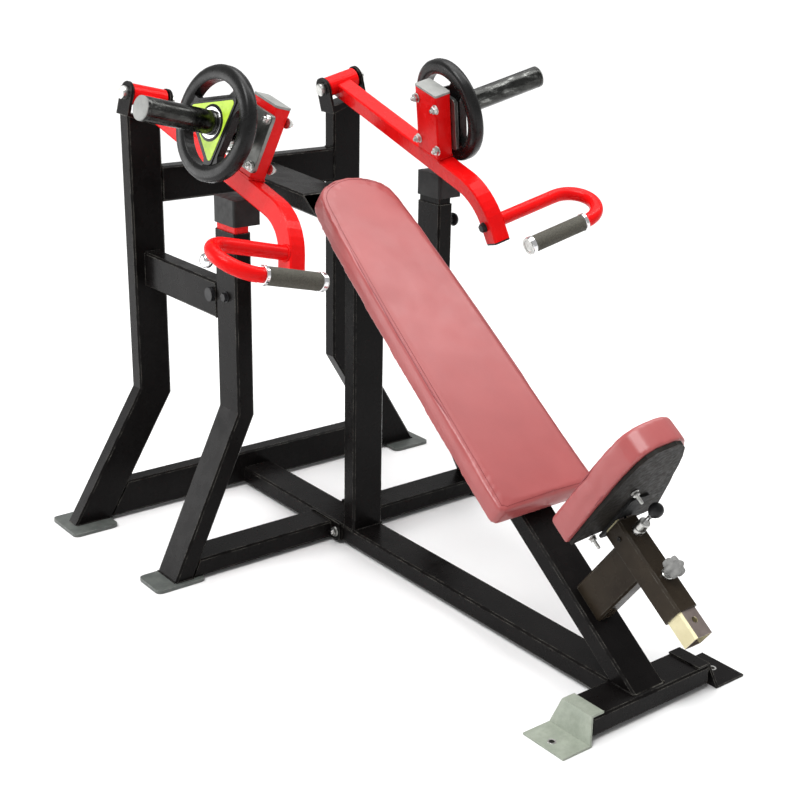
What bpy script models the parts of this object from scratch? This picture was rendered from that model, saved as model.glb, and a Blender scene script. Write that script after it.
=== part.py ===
"""Plate-loaded incline chest press machine.  Metres, +Z up, front (seat) is -Y.

Every sub-part is one named mesh object.  Tubes are swept sections, plates are
extruded outlines.  Dimensions below are millimetres; MM turns them into metres.
"""
import math

import bmesh
import bpy
from mathutils import Matrix, Vector

MM = 0.001
GAP = 0.3            # clearance left between touching pieces
SHIFT_Y = 243.0      # moves the middle of the footprint to y = 0
SIDES = (("L", -1), ("R", 1))

# frame tubes
TUBE_W = 80.0
TUBE_H = 40.0
WALL = 3.0
CORNER = 4.0
PLATE_T = 8.0
REAR_X = 274.0
REAR_Y = 950.0
REAR_BEND_Z = 297.8
REAR_SPLAY = 31.2
FRONT_X = 268.0
FRONT_Y = 578.0
FRONT_BEND_Z = 354.5
FRONT_SPLAY = 25.2
FRONT_TOP_Z = 748.0
BEAM_FRONT_Y = -339.0
COLUMN_Y = 482.0
RAIL_Z = 592.0
CROSS_Z = 781.0
NOSE_HALF = 152.0

# bench: plane through the tube's upper face, tilted about X
BENCH_TILT = 37.0
BENCH_C = 285.05
BENCH_TOP_S = 868.0
SEAT_AXIS_TILT = 36.0

# press arms
ARM_PITCH = 15.69
ARM_T = 16.47
ARM_TOE = 6.27
PIVOT = (260.8, 942.7, 975.6)
PIVOT_T = 13.5
ARM_SIZE = 40.0
ARM_H0 = -9.2
ARM_STRAIGHT = 517.0
ARM_BEND_R = 119.0
ARM_BEND = 58.0
ARM_TAIL = 43.0
MAST_S = 403.0
MAST_LEN = 157.0
HORN_D = 48.0
HORN_S = 395.0
HORN_H = 95.0
HORN_END = 289.0
BARREL_D = 46.0
BOLT_D = 20.0
PLATE_D = 230.0
HANDLE_D = 30.0
GRIP_D = 36.0

BLACK = ("satin_black", (0.012, 0.012, 0.013), 0.38, 0.0)
RED = ("gloss_red", (0.55, 0.008, 0.008), 0.22, 0.0)
STEEL = ("zinc_steel", (0.55, 0.55, 0.53), 0.38, 1.0)
CHROME = ("chrome", (0.75, 0.75, 0.76), 0.15, 1.0)
GREY = ("grey_paint", (0.34, 0.36, 0.33), 0.5, 0.0)
CAP = ("grey_cap", (0.42, 0.43, 0.42), 0.5, 0.0)
RUBBER = ("black_rubber", (0.02, 0.02, 0.021), 0.7, 0.0)
PLASTIC = ("black_plastic", (0.025, 0.025, 0.027), 0.42, 0.0)
ROSE = ("rose_vinyl", (0.5, 0.11, 0.12), 0.5, 0.0)
BOARD = ("dark_board", (0.03, 0.028, 0.026), 0.7, 0.0)


def clear_scene():
    for obj in list(bpy.data.objects):
        bpy.data.objects.remove(obj, do_unlink=True)


def material(spec):
    name, colour, rough, metal = spec
    mat = bpy.data.materials.get(name)
    if mat is None:
        mat = bpy.data.materials.new(name)
        mat.use_nodes = True
        bsdf = mat.node_tree.nodes["Principled BSDF"]
        bsdf.inputs["Base Color"].default_value = (*colour, 1.0)
        bsdf.inputs["Roughness"].default_value = rough
        bsdf.inputs["Metallic"].default_value = metal
        mat.diffuse_color = (*colour, 1.0)
    return mat


def world(point):
    """Millimetres in the drawing frame to metres in the part frame."""
    return Vector((point[0], point[1] - SHIFT_Y, point[2])) * MM


def finish(name, bm, spec, origin=None, smooth=False):
    """Turn a bmesh in drawing millimetres into a named object."""
    origin = Vector(origin) if origin is not None else Vector((0.0, SHIFT_Y, 0.0))
    bmesh.ops.recalc_face_normals(bm, faces=bm.faces)
    for vert in bm.verts:
        vert.co = (vert.co - origin) * MM
    mesh = bpy.data.meshes.new(name)
    bm.to_mesh(mesh)
    bm.free()
    mesh.materials.append(material(spec))
    obj = bpy.data.objects.new(name, mesh)
    obj.location = world(origin)
    bpy.context.scene.collection.objects.link(obj)
    if smooth:
        mesh.shade_smooth()
        mesh.set_sharp_from_angle(angle=math.radians(35.0))
    return obj


def rect_section(width, height, corner=CORNER):
    """Octagonal outline: a rectangle with its corners cut."""
    a, b, c = width / 2.0, height / 2.0, corner
    return [(a - c, -b), (a, -b + c), (a, b - c), (a - c, b),
            (-a + c, b), (-a, b - c), (-a, -b + c), (-a + c, -b)]


def round_section(diameter, count=20):
    radius = diameter / 2.0
    return [(radius * math.cos(2.0 * math.pi * k / count),
             radius * math.sin(2.0 * math.pi * k / count)) for k in range(count)]


def sweep(path, across, outer, inner=None, ends=(None, None)):
    """Sweep a section along a planar path with mitred corners.

    across is the direction of the section's second axis.  ends gives the
    normals of slanted end cuts.
    """
    path = [Vector(p) for p in path]
    across = Vector(across).normalized()
    dirs = [(b - a).normalized() for a, b in zip(path[:-1], path[1:])]
    bm = bmesh.new()
    loops = [outer] + ([inner] if inner else [])
    rings = []
    for section in loops:
        rows = []
        for k, point in enumerate(path):
            seg = dirs[min(k, len(dirs) - 1)]
            if k == 0:
                cut = Vector(ends[0]) if ends[0] is not None else dirs[0]
            elif k == len(path) - 1:
                cut = Vector(ends[1]) if ends[1] is not None else dirs[-1]
            else:
                cut = dirs[k - 1] + dirs[k]
            side = seg.cross(across).normalized()
            row = []
            for u, v in section:
                offset = side * u + across * v
                slide = -offset.dot(cut) / seg.dot(cut)
                row.append(bm.verts.new(point + offset + seg * slide))
            rows.append(row)
        rings.append(rows)
    for rows in rings:
        for lower, upper in zip(rows[:-1], rows[1:]):
            for k in range(len(lower)):
                m = (k + 1) % len(lower)
                bm.faces.new((lower[k], lower[m], upper[m], upper[k]))
    for end in (0, -1):
        if inner:
            a, b = rings[0][end], rings[1][end]
            for k in range(len(a)):
                m = (k + 1) % len(a)
                bm.faces.new((a[k], a[m], b[m], b[k]))
        else:
            bm.faces.new(rings[0][end])
    return bm


def tube(path, across, width, height, ends=(None, None), wall=WALL):
    return sweep(path, across, rect_section(width, height),
                 rect_section(width - 2 * wall, height - 2 * wall, CORNER / 2), ends)


def prism(outline, origin, ax, ay, depth):
    """Extrude a 2-D outline; origin + x*ax + y*ay, thickness along ax x ay."""
    origin, ax, ay = Vector(origin), Vector(ax), Vector(ay)
    az = ax.cross(ay).normalized()
    bm = bmesh.new()
    low = [bm.verts.new(origin + ax * x + ay * y) for x, y in outline]
    high = [bm.verts.new(v.co + az * depth) for v in low]
    bm.faces.new(low)
    bm.faces.new(high)
    for k in range(len(low)):
        m = (k + 1) % len(low)
        bm.faces.new((low[k], low[m], high[m], high[k]))
    return bm


def rounded(x0, x1, y0, y1, radius, steps=3):
    """Rectangle outline with rounded corners."""
    pts = []
    corners = ((x1 - radius, y1 - radius, 0), (x0 + radius, y1 - radius, 90),
               (x0 + radius, y0 + radius, 180), (x1 - radius, y0 + radius, 270))
    for cx, cy, start in corners:
        for k in range(steps + 1):
            angle = math.radians(start + 90.0 * k / steps)
            pts.append((cx + radius * math.cos(angle), cy + radius * math.sin(angle)))
    return pts


def cylinder(start, end, diameter, count=20, bore=None):
    start, end = Vector(start), Vector(end)
    axis = (end - start).normalized()
    helper = Vector((0, 0, 1)) if abs(axis.z) < 0.8 else Vector((0, 1, 0))
    across = axis.cross(helper).normalized()
    inner = round_section(bore, count) if bore else None
    return sweep([start, end], across, round_section(diameter, count), inner)


def boolean(obj, cutter, operation):
    mod = obj.modifiers.new("cut", "BOOLEAN")
    mod.operation = operation
    mod.solver = "EXACT"
    mod.object = cutter
    bpy.context.view_layer.update()
    graph = bpy.context.evaluated_depsgraph_get()
    mesh = bpy.data.meshes.new_from_object(obj.evaluated_get(graph))
    obj.modifiers.clear()
    obj.data = mesh
    bpy.data.objects.remove(cutter, do_unlink=True)


def tool(bm, origin):
    return finish("tool", bm, BLACK, origin)


# ---------------------------------------------------------------- base frame
def splay_dir(angle, sx):
    return Vector((sx * math.sin(math.radians(angle)), 0.0, -math.cos(math.radians(angle))))


def foot_x(x, bend_z, angle):
    return x + (bend_z - PLATE_T - GAP) * math.tan(math.radians(angle))


def build_posts():
    for tag, sx in SIDES:
        foot = foot_x(REAR_X, REAR_BEND_Z, REAR_SPLAY)
        path = [(sx * foot, REAR_Y, PLATE_T + GAP), (sx * REAR_X, REAR_Y, REAR_BEND_Z),
                (sx * REAR_X, REAR_Y, 924.0)]
        top_cut = Vector((-sx * 0.36, 0.0, 1.0)).normalized()
        bm = tube(path, (0, 1, 0), TUBE_W, TUBE_H, ((0, 0, 1), top_cut))
        finish("rear_post_" + tag, bm, BLACK)
        foot = foot_x(FRONT_X, FRONT_BEND_Z, FRONT_SPLAY)
        path = [(sx * foot, FRONT_Y, PLATE_T + GAP), (sx * FRONT_X, FRONT_Y, FRONT_BEND_Z),
                (sx * FRONT_X, FRONT_Y, FRONT_TOP_Z)]
        bm = tube(path, (0, 1, 0), TUBE_H, TUBE_W, ((0, 0, 1), None))
        finish("front_post_" + tag, bm, BLACK)
        for name, x0, x1, y0, y1 in (("rear", 408, 518, 887, 1010), ("front", 385, 501, 527, 617)):
            outline = rounded(min(sx * x0, sx * x1), max(sx * x0, sx * x1), y0, y1, 12)
            bm = prism(outline, (0, 0, 0), (1, 0, 0), (0, 1, 0), PLATE_T)
            finish("foot_plate_" + name + "_" + tag, bm, GREY)


def leg_inner(x, bend_z, angle, half, z):
    """|x| of a splayed leg's inner face at height z."""
    a = math.radians(angle)
    return x + (bend_z - z) * math.tan(a) - half / math.cos(a)


def build_base():
    top = PLATE_T + TUBE_W / 2
    x = leg_inner(REAR_X, REAR_BEND_Z, REAR_SPLAY, TUBE_W / 2, top) - GAP
    a = math.radians(REAR_SPLAY)
    cut_l = (math.cos(a), 0, -math.sin(a))
    cut_r = (math.cos(a), 0, math.sin(a))
    bm = tube([(-x, REAR_Y, top), (x, REAR_Y, top)], (0, 1, 0), TUBE_W, TUBE_H, (cut_l, cut_r))
    finish("rear_base_crossbar", bm, BLACK)
    mid = PLATE_T + TUBE_H / 2
    x = leg_inner(FRONT_X, FRONT_BEND_Z, FRONT_SPLAY, TUBE_H / 2, mid) - GAP
    a = math.radians(FRONT_SPLAY)
    for tag, sx in SIDES:
        cut = (sx * math.cos(a), 0, math.sin(a))
        inner = TUBE_W / 2 + PLATE_T + 2 * GAP
        bm = tube([(sx * inner, FRONT_Y, mid), (sx * x, FRONT_Y, mid)], (0, 1, 0),
                  TUBE_H, TUBE_W, (None, cut))
        finish("front_base_bar_" + tag, bm, BLACK)
        outline = rounded(FRONT_Y - 72, FRONT_Y + 44, PLATE_T, PLATE_T + TUBE_H + 4, 6)
        bm = prism(outline, (sx * (TUBE_W / 2 + GAP), 0, 0), (0, sx, 0), (0, 0, 1), PLATE_T)
        for vert in bm.verts:
            vert.co.y = vert.co.y if sx > 0 else -vert.co.y
        finish("base_flange_" + tag, bm, BLACK)
    bm = tube([(0, BEAM_FRONT_Y + GAP, mid), (0, REAR_Y - TUBE_H / 2 - GAP, mid)],
              (0, 0, 1), TUBE_W, TUBE_H)
    finish("centre_beam", bm, BLACK)
    bm = tube([(-NOSE_HALF, BEAM_FRONT_Y - TUBE_W / 2, mid), (NOSE_HALF, BEAM_FRONT_Y - TUBE_W / 2, mid)],
              (0, 0, 1), TUBE_W, TUBE_H)
    finish("nose_crossbar", bm, BLACK)


def build_nose_feet():
    """Bent foot plates that wrap the ends of the nose crossbar."""
    yc = BEAM_FRONT_Y - TUBE_W / 2
    t = 4.0
    for tag, sx, reach in (("L", -1, 236.0), ("R", 1, 245.0)):
        side = [(NOSE_HALF - 26, 48.3), (NOSE_HALF - 26, 48.3 + t), (NOSE_HALF + 4.5, 48.3 + t),
                (NOSE_HALF + 19.0, t), (reach, t), (reach, 0.0), (NOSE_HALF + 15.0, 0.0),
                (NOSE_HALF + 0.5, 48.3)]
        bm = bmesh.new()
        rows = []
        for end in (-1, 1):
            row = []
            for x, z in side:
                half = 38.0 if z > 40.0 else 52.0
                row.append(bm.verts.new((sx * x, yc + end * half, z)))
            rows.append(row)
        bm.faces.new(rows[0])
        bm.faces.new(rows[1])
        for k in range(len(side)):
            m = (k + 1) % len(side)
            bm.faces.new((rows[0][k], rows[0][m], rows[1][m], rows[1][k]))
        finish("nose_foot_" + tag, bm, GREY if sx < 0 else BLACK)


def build_upper():
    rear_face = REAR_Y - TUBE_H / 2
    x = REAR_X - TUBE_W / 2 - GAP
    bm = tube([(-x, REAR_Y, CROSS_Z), (x, REAR_Y, CROSS_Z)], (0, 1, 0), TUBE_W, TUBE_H)
    finish("top_crossbar", bm, BLACK)
    y0, y1 = FRONT_Y + TUBE_W / 2 + GAP, rear_face - GAP
    for tag, sx in SIDES:
        bm = tube([(sx * FRONT_X, y0, RAIL_Z), (sx * FRONT_X, y1, RAIL_Z)], (0, 0, 1),
                  TUBE_H, TUBE_W)
        finish("side_rail_" + tag, bm, BLACK)
        face = FRONT_X + TUBE_H / 2
        bm = cylinder((sx * (face + GAP), 636, 602), (sx * (face + 9), 636, 602), 30, 16)
        finish("rail_cap_" + tag, bm, PLASTIC, (sx * face, 636, 602), True)


def bench(s, h, x=0.0):
    """Point in the drawing frame from bench coordinates."""
    a = math.radians(BENCH_TILT)
    along = Vector((0, math.cos(a), math.sin(a)))
    normal = Vector((0, -math.sin(a), math.cos(a)))
    return along * s + normal * (h + BENCH_C) + Vector((x, 0, 0))


def bench_axes():
    a = math.radians(BENCH_TILT)
    return Vector((0, math.cos(a), math.sin(a))), Vector((0, -math.sin(a), math.cos(a)))


def bench_s_at_z(z, h):
    a = math.radians(BENCH_TILT)
    return (z - (h + BENCH_C) * math.cos(a)) / math.sin(a)


def build_bench():
    base_z = PLATE_T + TUBE_H + GAP
    low = bench_s_at_z(base_z, -TUBE_H / 2)
    bm = tube([bench(low, -TUBE_H / 2), bench(BENCH_TOP_S, -TUBE_H / 2)], (1, 0, 0),
              TUBE_H, TUBE_W, ((0, 0, 1), None))
    finish("bench_tube", bm, BLACK)
    _, normal = bench_axes()
    under = BENCH_C - TUBE_H - GAP
    z_top = (under + COLUMN_Y * math.sin(math.radians(BENCH_TILT))) / math.cos(
        math.radians(BENCH_TILT))
    bm = tube([(0, COLUMN_Y, base_z), (0, COLUMN_Y, z_top)], (0, 1, 0), TUBE_W, TUBE_H,
              (None, normal))
    finish("centre_column", bm, BLACK)
    # spine from the crossbar's front face down to the bench tube's end
    y_rear = REAR_Y - TUBE_H / 2 - GAP
    slope = 0.055
    z_rear = 786.0
    y_front = 610.0
    z_front = z_rear - slope * (y_rear - y_front)
    bm = tube([(0, y_rear, z_rear), (0, y_front, z_front)], (1, 0, 0), TUBE_H, 112.0,
              ((0, 1, 0), bench_axes()[1]))
    finish("top_spine", bm, BLACK)


# ---------------------------------------------------------------- pads
def outline_sweep(stations, tip, h0, h1):
    """Pad body from half-width stations, bench coordinates."""
    pts = [(w, s) for s, w in stations] + tip
    left = [(-x, s) for x, s in reversed(pts) if x > 0.5]
    outline = pts + left
    bm = bmesh.new()
    low = [bm.verts.new(bench(s, h0, x)) for x, s in outline]
    high = [bm.verts.new(bench(s, h1, x)) for x, s in outline]
    bm.faces.new(low)
    bm.faces.new(high)
    for k in range(len(low)):
        m = (k + 1) % len(low)
        bm.faces.new((low[k], low[m], high[m], high[k]))
    return bm


def round_rim(bm, faces_of, amount, segments):
    edges = [e for e in bm.edges if all(faces_of(f) for f in e.link_faces) is False
             and any(faces_of(f) for f in e.link_faces)]
    bmesh.ops.bevel(bm, geom=edges, offset=amount, segments=segments, affect="EDGES",
                    profile=0.5, clamp_overlap=True)


BACK_STATIONS = ((98, 116), (104, 124), (112, 127), (336, 121), (594, 114), (780, 106), (870, 98))
BACK_TIP = [(91, 900), (78, 916), (66, 925), (49, 932), (35, 938), (0, 943)]


BOARD_T = 8.0


def build_back_pad():
    bm = outline_sweep(BACK_STATIONS, BACK_TIP, BOARD_T + 2 * GAP, 54.0)
    normal = bench_axes()[1]
    bm.normal_update()
    bmesh.ops.recalc_face_normals(bm, faces=bm.faces)
    round_rim(bm, lambda f: f.normal.dot(normal) > 0.9, 6.0, 3)
    finish("back_pad", bm, ROSE, None, True)
    stations = [(s + (16 if k < 3 else 0), w - 14) for k, (s, w) in enumerate(BACK_STATIONS)]
    tip = [(x * 0.86, s - 14) for x, s in BACK_TIP]
    bm = outline_sweep(stations, tip, GAP, BOARD_T + GAP)
    finish("back_board", bm, BOARD)


def seat_frame():
    """Axes of the seat slide: along (up the slide), normal, and mid point of the sleeve."""
    b = math.radians(SEAT_AXIS_TILT)
    along = Vector((0, math.cos(b), math.sin(b)))
    normal = Vector((0, -math.sin(b), math.cos(b)))
    return along, normal, bench(-133.0, 174.0)


def seat_point(t, k, x=0.0):
    along, normal, mid = seat_frame()
    return mid + along * t + normal * k + Vector((x, 0, 0))


SLEEVE = 50.0
INNER = 43.4
SLEEVE_LOW = -104.0
SLEEVE_HIGH = 92.0
SEAT_SWIVEL = 11.0
SEAT_WIDTHS = ((-35, 101), (-30, 107), (10, 101), (80, 91), (112, 84), (144, 80), (180, 72),
               (215, 60), (232, 48), (242, 30), (246, 12))


def build_seat_mount():
    along, normal, _ = seat_frame()
    bm = tube([seat_point(SLEEVE_LOW, 0), seat_point(SLEEVE_HIGH, 0)], (1, 0, 0), SLEEVE, SLEEVE)
    sleeve = finish("seat_sleeve", bm, BLACK)
    pin_hole = cylinder(seat_point(61, 10, 0), seat_point(61, 60, 0), 12.6, 12)
    boolean(sleeve, tool(pin_hole, seat_point(61, 30)), "DIFFERENCE")
    knob_hole = cylinder(seat_point(-34, 10, 0), seat_point(-34, 60, 0), 10.6, 12)
    boolean(sleeve, tool(knob_hole, seat_point(-34, 30)), "DIFFERENCE")
    # stub between bench tube and sleeve
    low_cut = bench_axes()[1]
    half = SLEEVE / 2 + GAP
    bm = tube([bench(-106, GAP), seat_point(27, -half)], (1, 0, 0), 78.0, TUBE_H,
              (low_cut, normal))
    finish("seat_stub", bm, BLACK)


def build_seat_slide():
    along, normal, _ = seat_frame()
    origin = seat_point(0, 0)
    bm = tube([seat_point(-158, 0), seat_point(96, 0)], (1, 0, 0), INNER, INNER, wall=2.6)
    inner = finish("seat_inner_tube", bm, STEEL, origin)
    for step in range(-3, 2):
        t = 61.0 + 30.0 * step
        if step == -3:
            t = -126.0
        hole = cylinder(seat_point(t, 12, 0), seat_point(t, 40, 0), 12.6, 12)
        boolean(inner, tool(hole, seat_point(t, 20)), "DIFFERENCE")
    outline = rounded(-24, 24, -84, 44, 8, 2)
    bm = prism(outline, seat_point(96 + GAP, 0), (1, 0, 0), -normal, 5.0)
    finish("seat_bracket", bm, BLACK, seat_point(98, 0))


def build_seat_pad():
    along, normal, _ = seat_frame()
    turn = math.radians(SEAT_SWIVEL)
    base_t = 96 + GAP + 5.0 + GAP
    across = Vector((math.cos(turn), 0, 0)) + normal * math.sin(turn)
    ahead = normal * math.cos(turn) - Vector((math.sin(turn), 0, 0))
    for name, grow, t0, t1, spec in (("seat_board", -9.0, 0.0, BOARD_T, BOARD),
                                     ("seat_pad", 0.0, BOARD_T + GAP, 62.0, ROSE)):
        pts = [(w + grow, v - (grow if k == 0 else 0)) for k, (v, w) in enumerate(SEAT_WIDTHS)]
        if grow:
            pts = pts[:-1]
        outline = pts + [(-x, v) for x, v in reversed(pts)]
        origin = seat_point(base_t + t0, 6.0)
        bm = prism(outline, origin, across, ahead, t1 - t0)
        az = across.cross(ahead).normalized()
        if az.dot(along) < 0:
            for vert in bm.verts:
                depth = (vert.co - origin).dot(az)
                vert.co -= az * (2 * depth)
        bm.normal_update()
        bmesh.ops.recalc_face_normals(bm, faces=bm.faces)
        if spec is ROSE:
            round_rim(bm, lambda f: f.normal.dot(along) > 0.9, 7.0, 3)
        finish(name, bm, spec, seat_point(98, 0), spec is ROSE)


def build_seat_hardware():
    along, normal, _ = seat_frame()
    base = seat_point(61, INNER / 2 + 0.2, 0)
    profile = [(6.0, 0.0), (6.0, 3.4), (10.0, 3.4), (10.0, 32.0), (5.0, 36.0), (5.0, 58.0),
               (10.0, 62.0), (13.0, 70.0), (10.0, 79.0), (4.0, 83.0)]
    bm = lathe(profile, base, normal, 16)
    finish("seat_pull_pin", bm, CHROME, base, True)
    base = seat_point(-34, 22.0, 0)
    bm = lathe([(5.0, 0.0), (5.0, 8.0), (10.0, 8.0), (10.0, 22.0)], base, normal, 12)
    stem = finish("seat_clamp_knob", bm, PLASTIC, base, True)
    lobes = []
    for k in range(30):
        angle = 2 * math.pi * k / 30
        radius = 21.0 + 4.0 * math.cos(5 * angle)
        lobes.append((radius * math.cos(angle), radius * math.sin(angle)))
    bm = prism(lobes, base + normal * 21.0, (1, 0, 0), along, 18.0)
    top = tool(bm, base)
    if Vector((1, 0, 0)).cross(along).dot(normal) < 0:
        raise ValueError("knob faces the wrong way")
    boolean(stem, top, "UNION")


def lathe(profile, base, axis, count):
    """Closed solid of revolution: profile is (radius, height) from base up the axis."""
    axis = Vector(axis).normalized()
    helper = Vector((0, 0, 1)) if abs(axis.z) < 0.8 else Vector((0, 1, 0))
    ax = axis.cross(helper).normalized()
    ay = axis.cross(ax).normalized()
    bm = bmesh.new()
    rows = []
    for radius, height in profile:
        row = []
        for k in range(count):
            angle = 2 * math.pi * k / count
            spoke = ax * (radius * math.cos(angle)) + ay * (radius * math.sin(angle))
            row.append(bm.verts.new(Vector(base) + axis * height + spoke))
        rows.append(row)
    for lower, upper in zip(rows[:-1], rows[1:]):
        for k in range(count):
            m = (k + 1) % count
            bm.faces.new((lower[k], lower[m], upper[m], upper[k]))
    bm.faces.new(rows[0])
    bm.faces.new(rows[-1])
    return bm


# ---------------------------------------------------------------- stops
def build_stops():
    for tag, sx in SIDES:
        inner = TUBE_H - 2 * WALL - 1.0
        depth = TUBE_W - 2 * WALL - 1.0
        bm = sweep([(sx * FRONT_X, FRONT_Y, 560.0), (sx * FRONT_X, FRONT_Y, 761.7)], (0, 1, 0),
                   rect_section(inner, depth, 2.0), rect_section(inner - 5, depth - 5, 1.0))
        finish("stop_post_" + tag, bm, BLACK)
        lo, hi = (-288, -224) if sx < 0 else (248, 312)
        outline = rounded(lo, hi, FRONT_Y - 40, FRONT_Y + 43, 6, 2)
        bm = prism(outline, (0, 0, 762), (1, 0, 0), (0, 1, 0), 55.0)
        finish("stop_bumper_" + tag, bm, RUBBER)
        z, reach = (692.0, 48.0) if sx < 0 else (700.0, 40.0)
        face = FRONT_X + TUBE_H / 2
        base = Vector((sx * (face - WALL - 0.2), FRONT_Y + 2, z))
        profile = [(5.0, 0.0), (5.0, 3.5), (11.0, 3.5), (11.0, 24.0), (7.0, 28.0), (7.0, 36.0),
                   (15.0, 40.0), (15.0, reach + 5.0), (11.0, reach + 10.0)]
        bm = lathe(profile, base, (sx, 0, 0), 16)
        finish("stop_pin_" + tag, bm, CHROME if sx < 0 else PLASTIC, base, True)


def drill_posts():
    for tag, sx in SIDES:
        z = 692.0 if sx < 0 else 700.0
        hole = cylinder((sx * (FRONT_X + 10), FRONT_Y + 2, z), (sx * (FRONT_X + 40), FRONT_Y + 2, z),
                        10.6, 12)
        boolean(bpy.data.objects["front_post_" + tag], tool(hole, (sx * FRONT_X, FRONT_Y, z)),
                "DIFFERENCE")


# ---------------------------------------------------------------- press arms
def arm_frame(sx):
    t = math.radians(ARM_T)
    th = math.radians(ARM_PITCH)
    k = math.radians(ARM_TOE)
    ex = Vector((sx * math.cos(t), 0, math.sin(t)))
    ec = Vector((-sx * math.sin(t), 0, math.cos(t)))
    ey = Vector((0, 1, 0))
    d = -math.cos(th) * ey - math.sin(th) * ec
    n = -math.sin(th) * ey + math.cos(th) * ec
    d2 = math.cos(k) * d - math.sin(k) * ex
    ex2 = math.cos(k) * ex + math.sin(k) * d
    return Vector((sx * PIVOT[0], PIVOT[1], PIVOT[2])), ex2, d2, n


def arm_point(sx, a, s, h):
    p0, ex, d, n = arm_frame(sx)
    return p0 + ex * a + d * s + n * h


def pivot_axis(sx):
    t = math.radians(PIVOT_T)
    return Vector((sx * math.cos(t), 0, math.sin(t)))


def arm_path(sx):
    pts = [(0.0, ARM_H0), (ARM_STRAIGHT, ARM_H0)]
    steps = 8
    for k in range(1, steps + 1):
        a = math.radians(ARM_BEND * k / steps)
        pts.append((ARM_STRAIGHT + ARM_BEND_R * math.sin(a),
                    ARM_H0 - ARM_BEND_R + ARM_BEND_R * math.cos(a)))
    a = math.radians(ARM_BEND)
    s, h = pts[-1]
    pts.append((s + (ARM_TAIL - 4) * math.cos(a), h - (ARM_TAIL - 4) * math.sin(a)))
    return [arm_point(sx, 0, s, h) for s, h in pts]


def mast_axes(sx):
    _, ex, d, n = arm_frame(sx)
    lean = math.radians(2.5)
    return ex, (d * math.cos(lean) + n * math.sin(lean)), (n * math.cos(lean) - d * math.sin(lean))


def build_arms():
    for tag, sx in SIDES:
        p0, ex, d, n = arm_frame(sx)
        axis = pivot_axis(sx)
        path = arm_path(sx)
        arm = finish("press_arm_" + tag,
                     sweep(path, ex, rect_section(ARM_SIZE, ARM_SIZE, 3.0)), RED, p0)
        mast_low = arm_point(sx, 0, MAST_S, ARM_H0 + 2.0)
        _, md, mn = mast_axes(sx)
        mast_top = arm_point(sx, 0, MAST_S, ARM_H0 + ARM_SIZE / 2) + mn * (MAST_LEN - 5.0)
        mast = sweep([mast_low, mast_top], ex, rect_section(TUBE_W, ARM_SIZE - 0.6, 3.0))
        boolean(arm, tool(mast, p0), "UNION")
        barrel = cylinder(p0 - axis * 42, p0 + axis * 40, BARREL_D, 24)
        boolean(arm, tool(barrel, p0), "UNION")
        bore = cylinder(p0 - axis * 60, p0 + axis * 60, BOLT_D + 2 * GAP, 16)
        boolean(arm, tool(bore, p0), "DIFFERENCE")
        build_arm_hollow(arm, sx, p0, ex)
        build_arm_details(tag, sx)


def build_arm_hollow(arm, sx, p0, ex):
    """Open the tube's lower end so its end cap plugs in."""
    path = arm_path(sx)
    direction = (path[-1] - path[-2]).normalized()
    inner = rect_section(ARM_SIZE - 6, ARM_SIZE - 6, 2.0)
    cavity = sweep([path[-1] - direction * 30, path[-1] + direction * 20], ex, inner)
    boolean(arm, tool(cavity, p0), "DIFFERENCE")


def build_arm_details(tag, sx):
    p0, ex, d, n = arm_frame(sx)
    path = arm_path(sx)
    tail = (path[-1] - path[-2]).normalized()
    bm = sweep([path[-1] + tail * GAP, path[-1] + tail * 4.0], ex,
               rect_section(ARM_SIZE - 1, ARM_SIZE - 1, 3.0))
    finish("arm_end_cap_" + tag, bm, PLASTIC, p0)
    _, md, mn = mast_axes(sx)
    top = arm_point(sx, 0, MAST_S, ARM_H0 + ARM_SIZE / 2) + mn * (MAST_LEN - 5.0)
    bm = sweep([top + mn * GAP, top + mn * 5.0], ex, rect_section(TUBE_W, ARM_SIZE, 3.0))
    finish("mast_cap_" + tag, bm, CAP, p0)
    # horn with its flange plate
    face = ARM_SIZE / 2
    mid = arm_point(sx, face, MAST_S, 87.0)
    outline = rounded(-49, 49, -62, 62, 8, 2)
    up = mn if sx > 0 else mn
    bm = prism(outline, mid + ex * GAP, md * (1.0 if md.cross(up).dot(ex) > 0 else -1.0), up, 9.0)
    horn = finish("weight_horn_" + tag, bm, STEEL, p0)
    bar = lathe([(HORN_D / 2, 0), (HORN_D / 2, 0.1), (HORN_D / 2, HORN_END - face - 8),
                 (HORN_D / 2 - 3, HORN_END - face - 5)],
                arm_point(sx, face + 5, HORN_S, HORN_H), ex, 28)
    boolean(horn, tool(bar, p0), "UNION")
    build_weight(tag, sx)
    build_handle(tag, sx)


PLATE_A = {-1: 97.0, 1: 31.0}
PLATE_THICK = 29.0
PLATE_TURN = {-1: 62.0, 1: 122.0}


def build_weight(tag, sx):
    p0, ex, d, n = arm_frame(sx)
    low = arm_point(sx, PLATE_A[sx], HORN_S, HORN_H)
    bore = HORN_D / 2 + 0.6
    rim = PLATE_D / 2
    profile = [(bore, 2.0), (bore, 27.0), (bore + 14, 27.0), (bore + 20, 20.0), (rim - 24, 20.0),
               (rim - 17, PLATE_THICK), (rim - 4, PLATE_THICK), (rim, PLATE_THICK - 5), (rim, 5.0),
               (rim - 4, 0.0), (rim - 17, 0.0), (rim - 24, 9.0), (bore + 20, 9.0), (bore + 14, 2.0)]
    bm = ring_lathe(profile, low, ex, 36)
    centre = arm_point(sx, PLATE_A[sx] + PLATE_THICK / 2, HORN_S, HORN_H)
    weight = finish("weight_plate_" + tag, bm, RUBBER, centre, True)
    for k in range(3):
        cutter = grip_slot(centre, ex, n, PLATE_TURN[sx] + 120.0 * k)
        boolean(weight, tool(cutter, centre), "DIFFERENCE")


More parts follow.
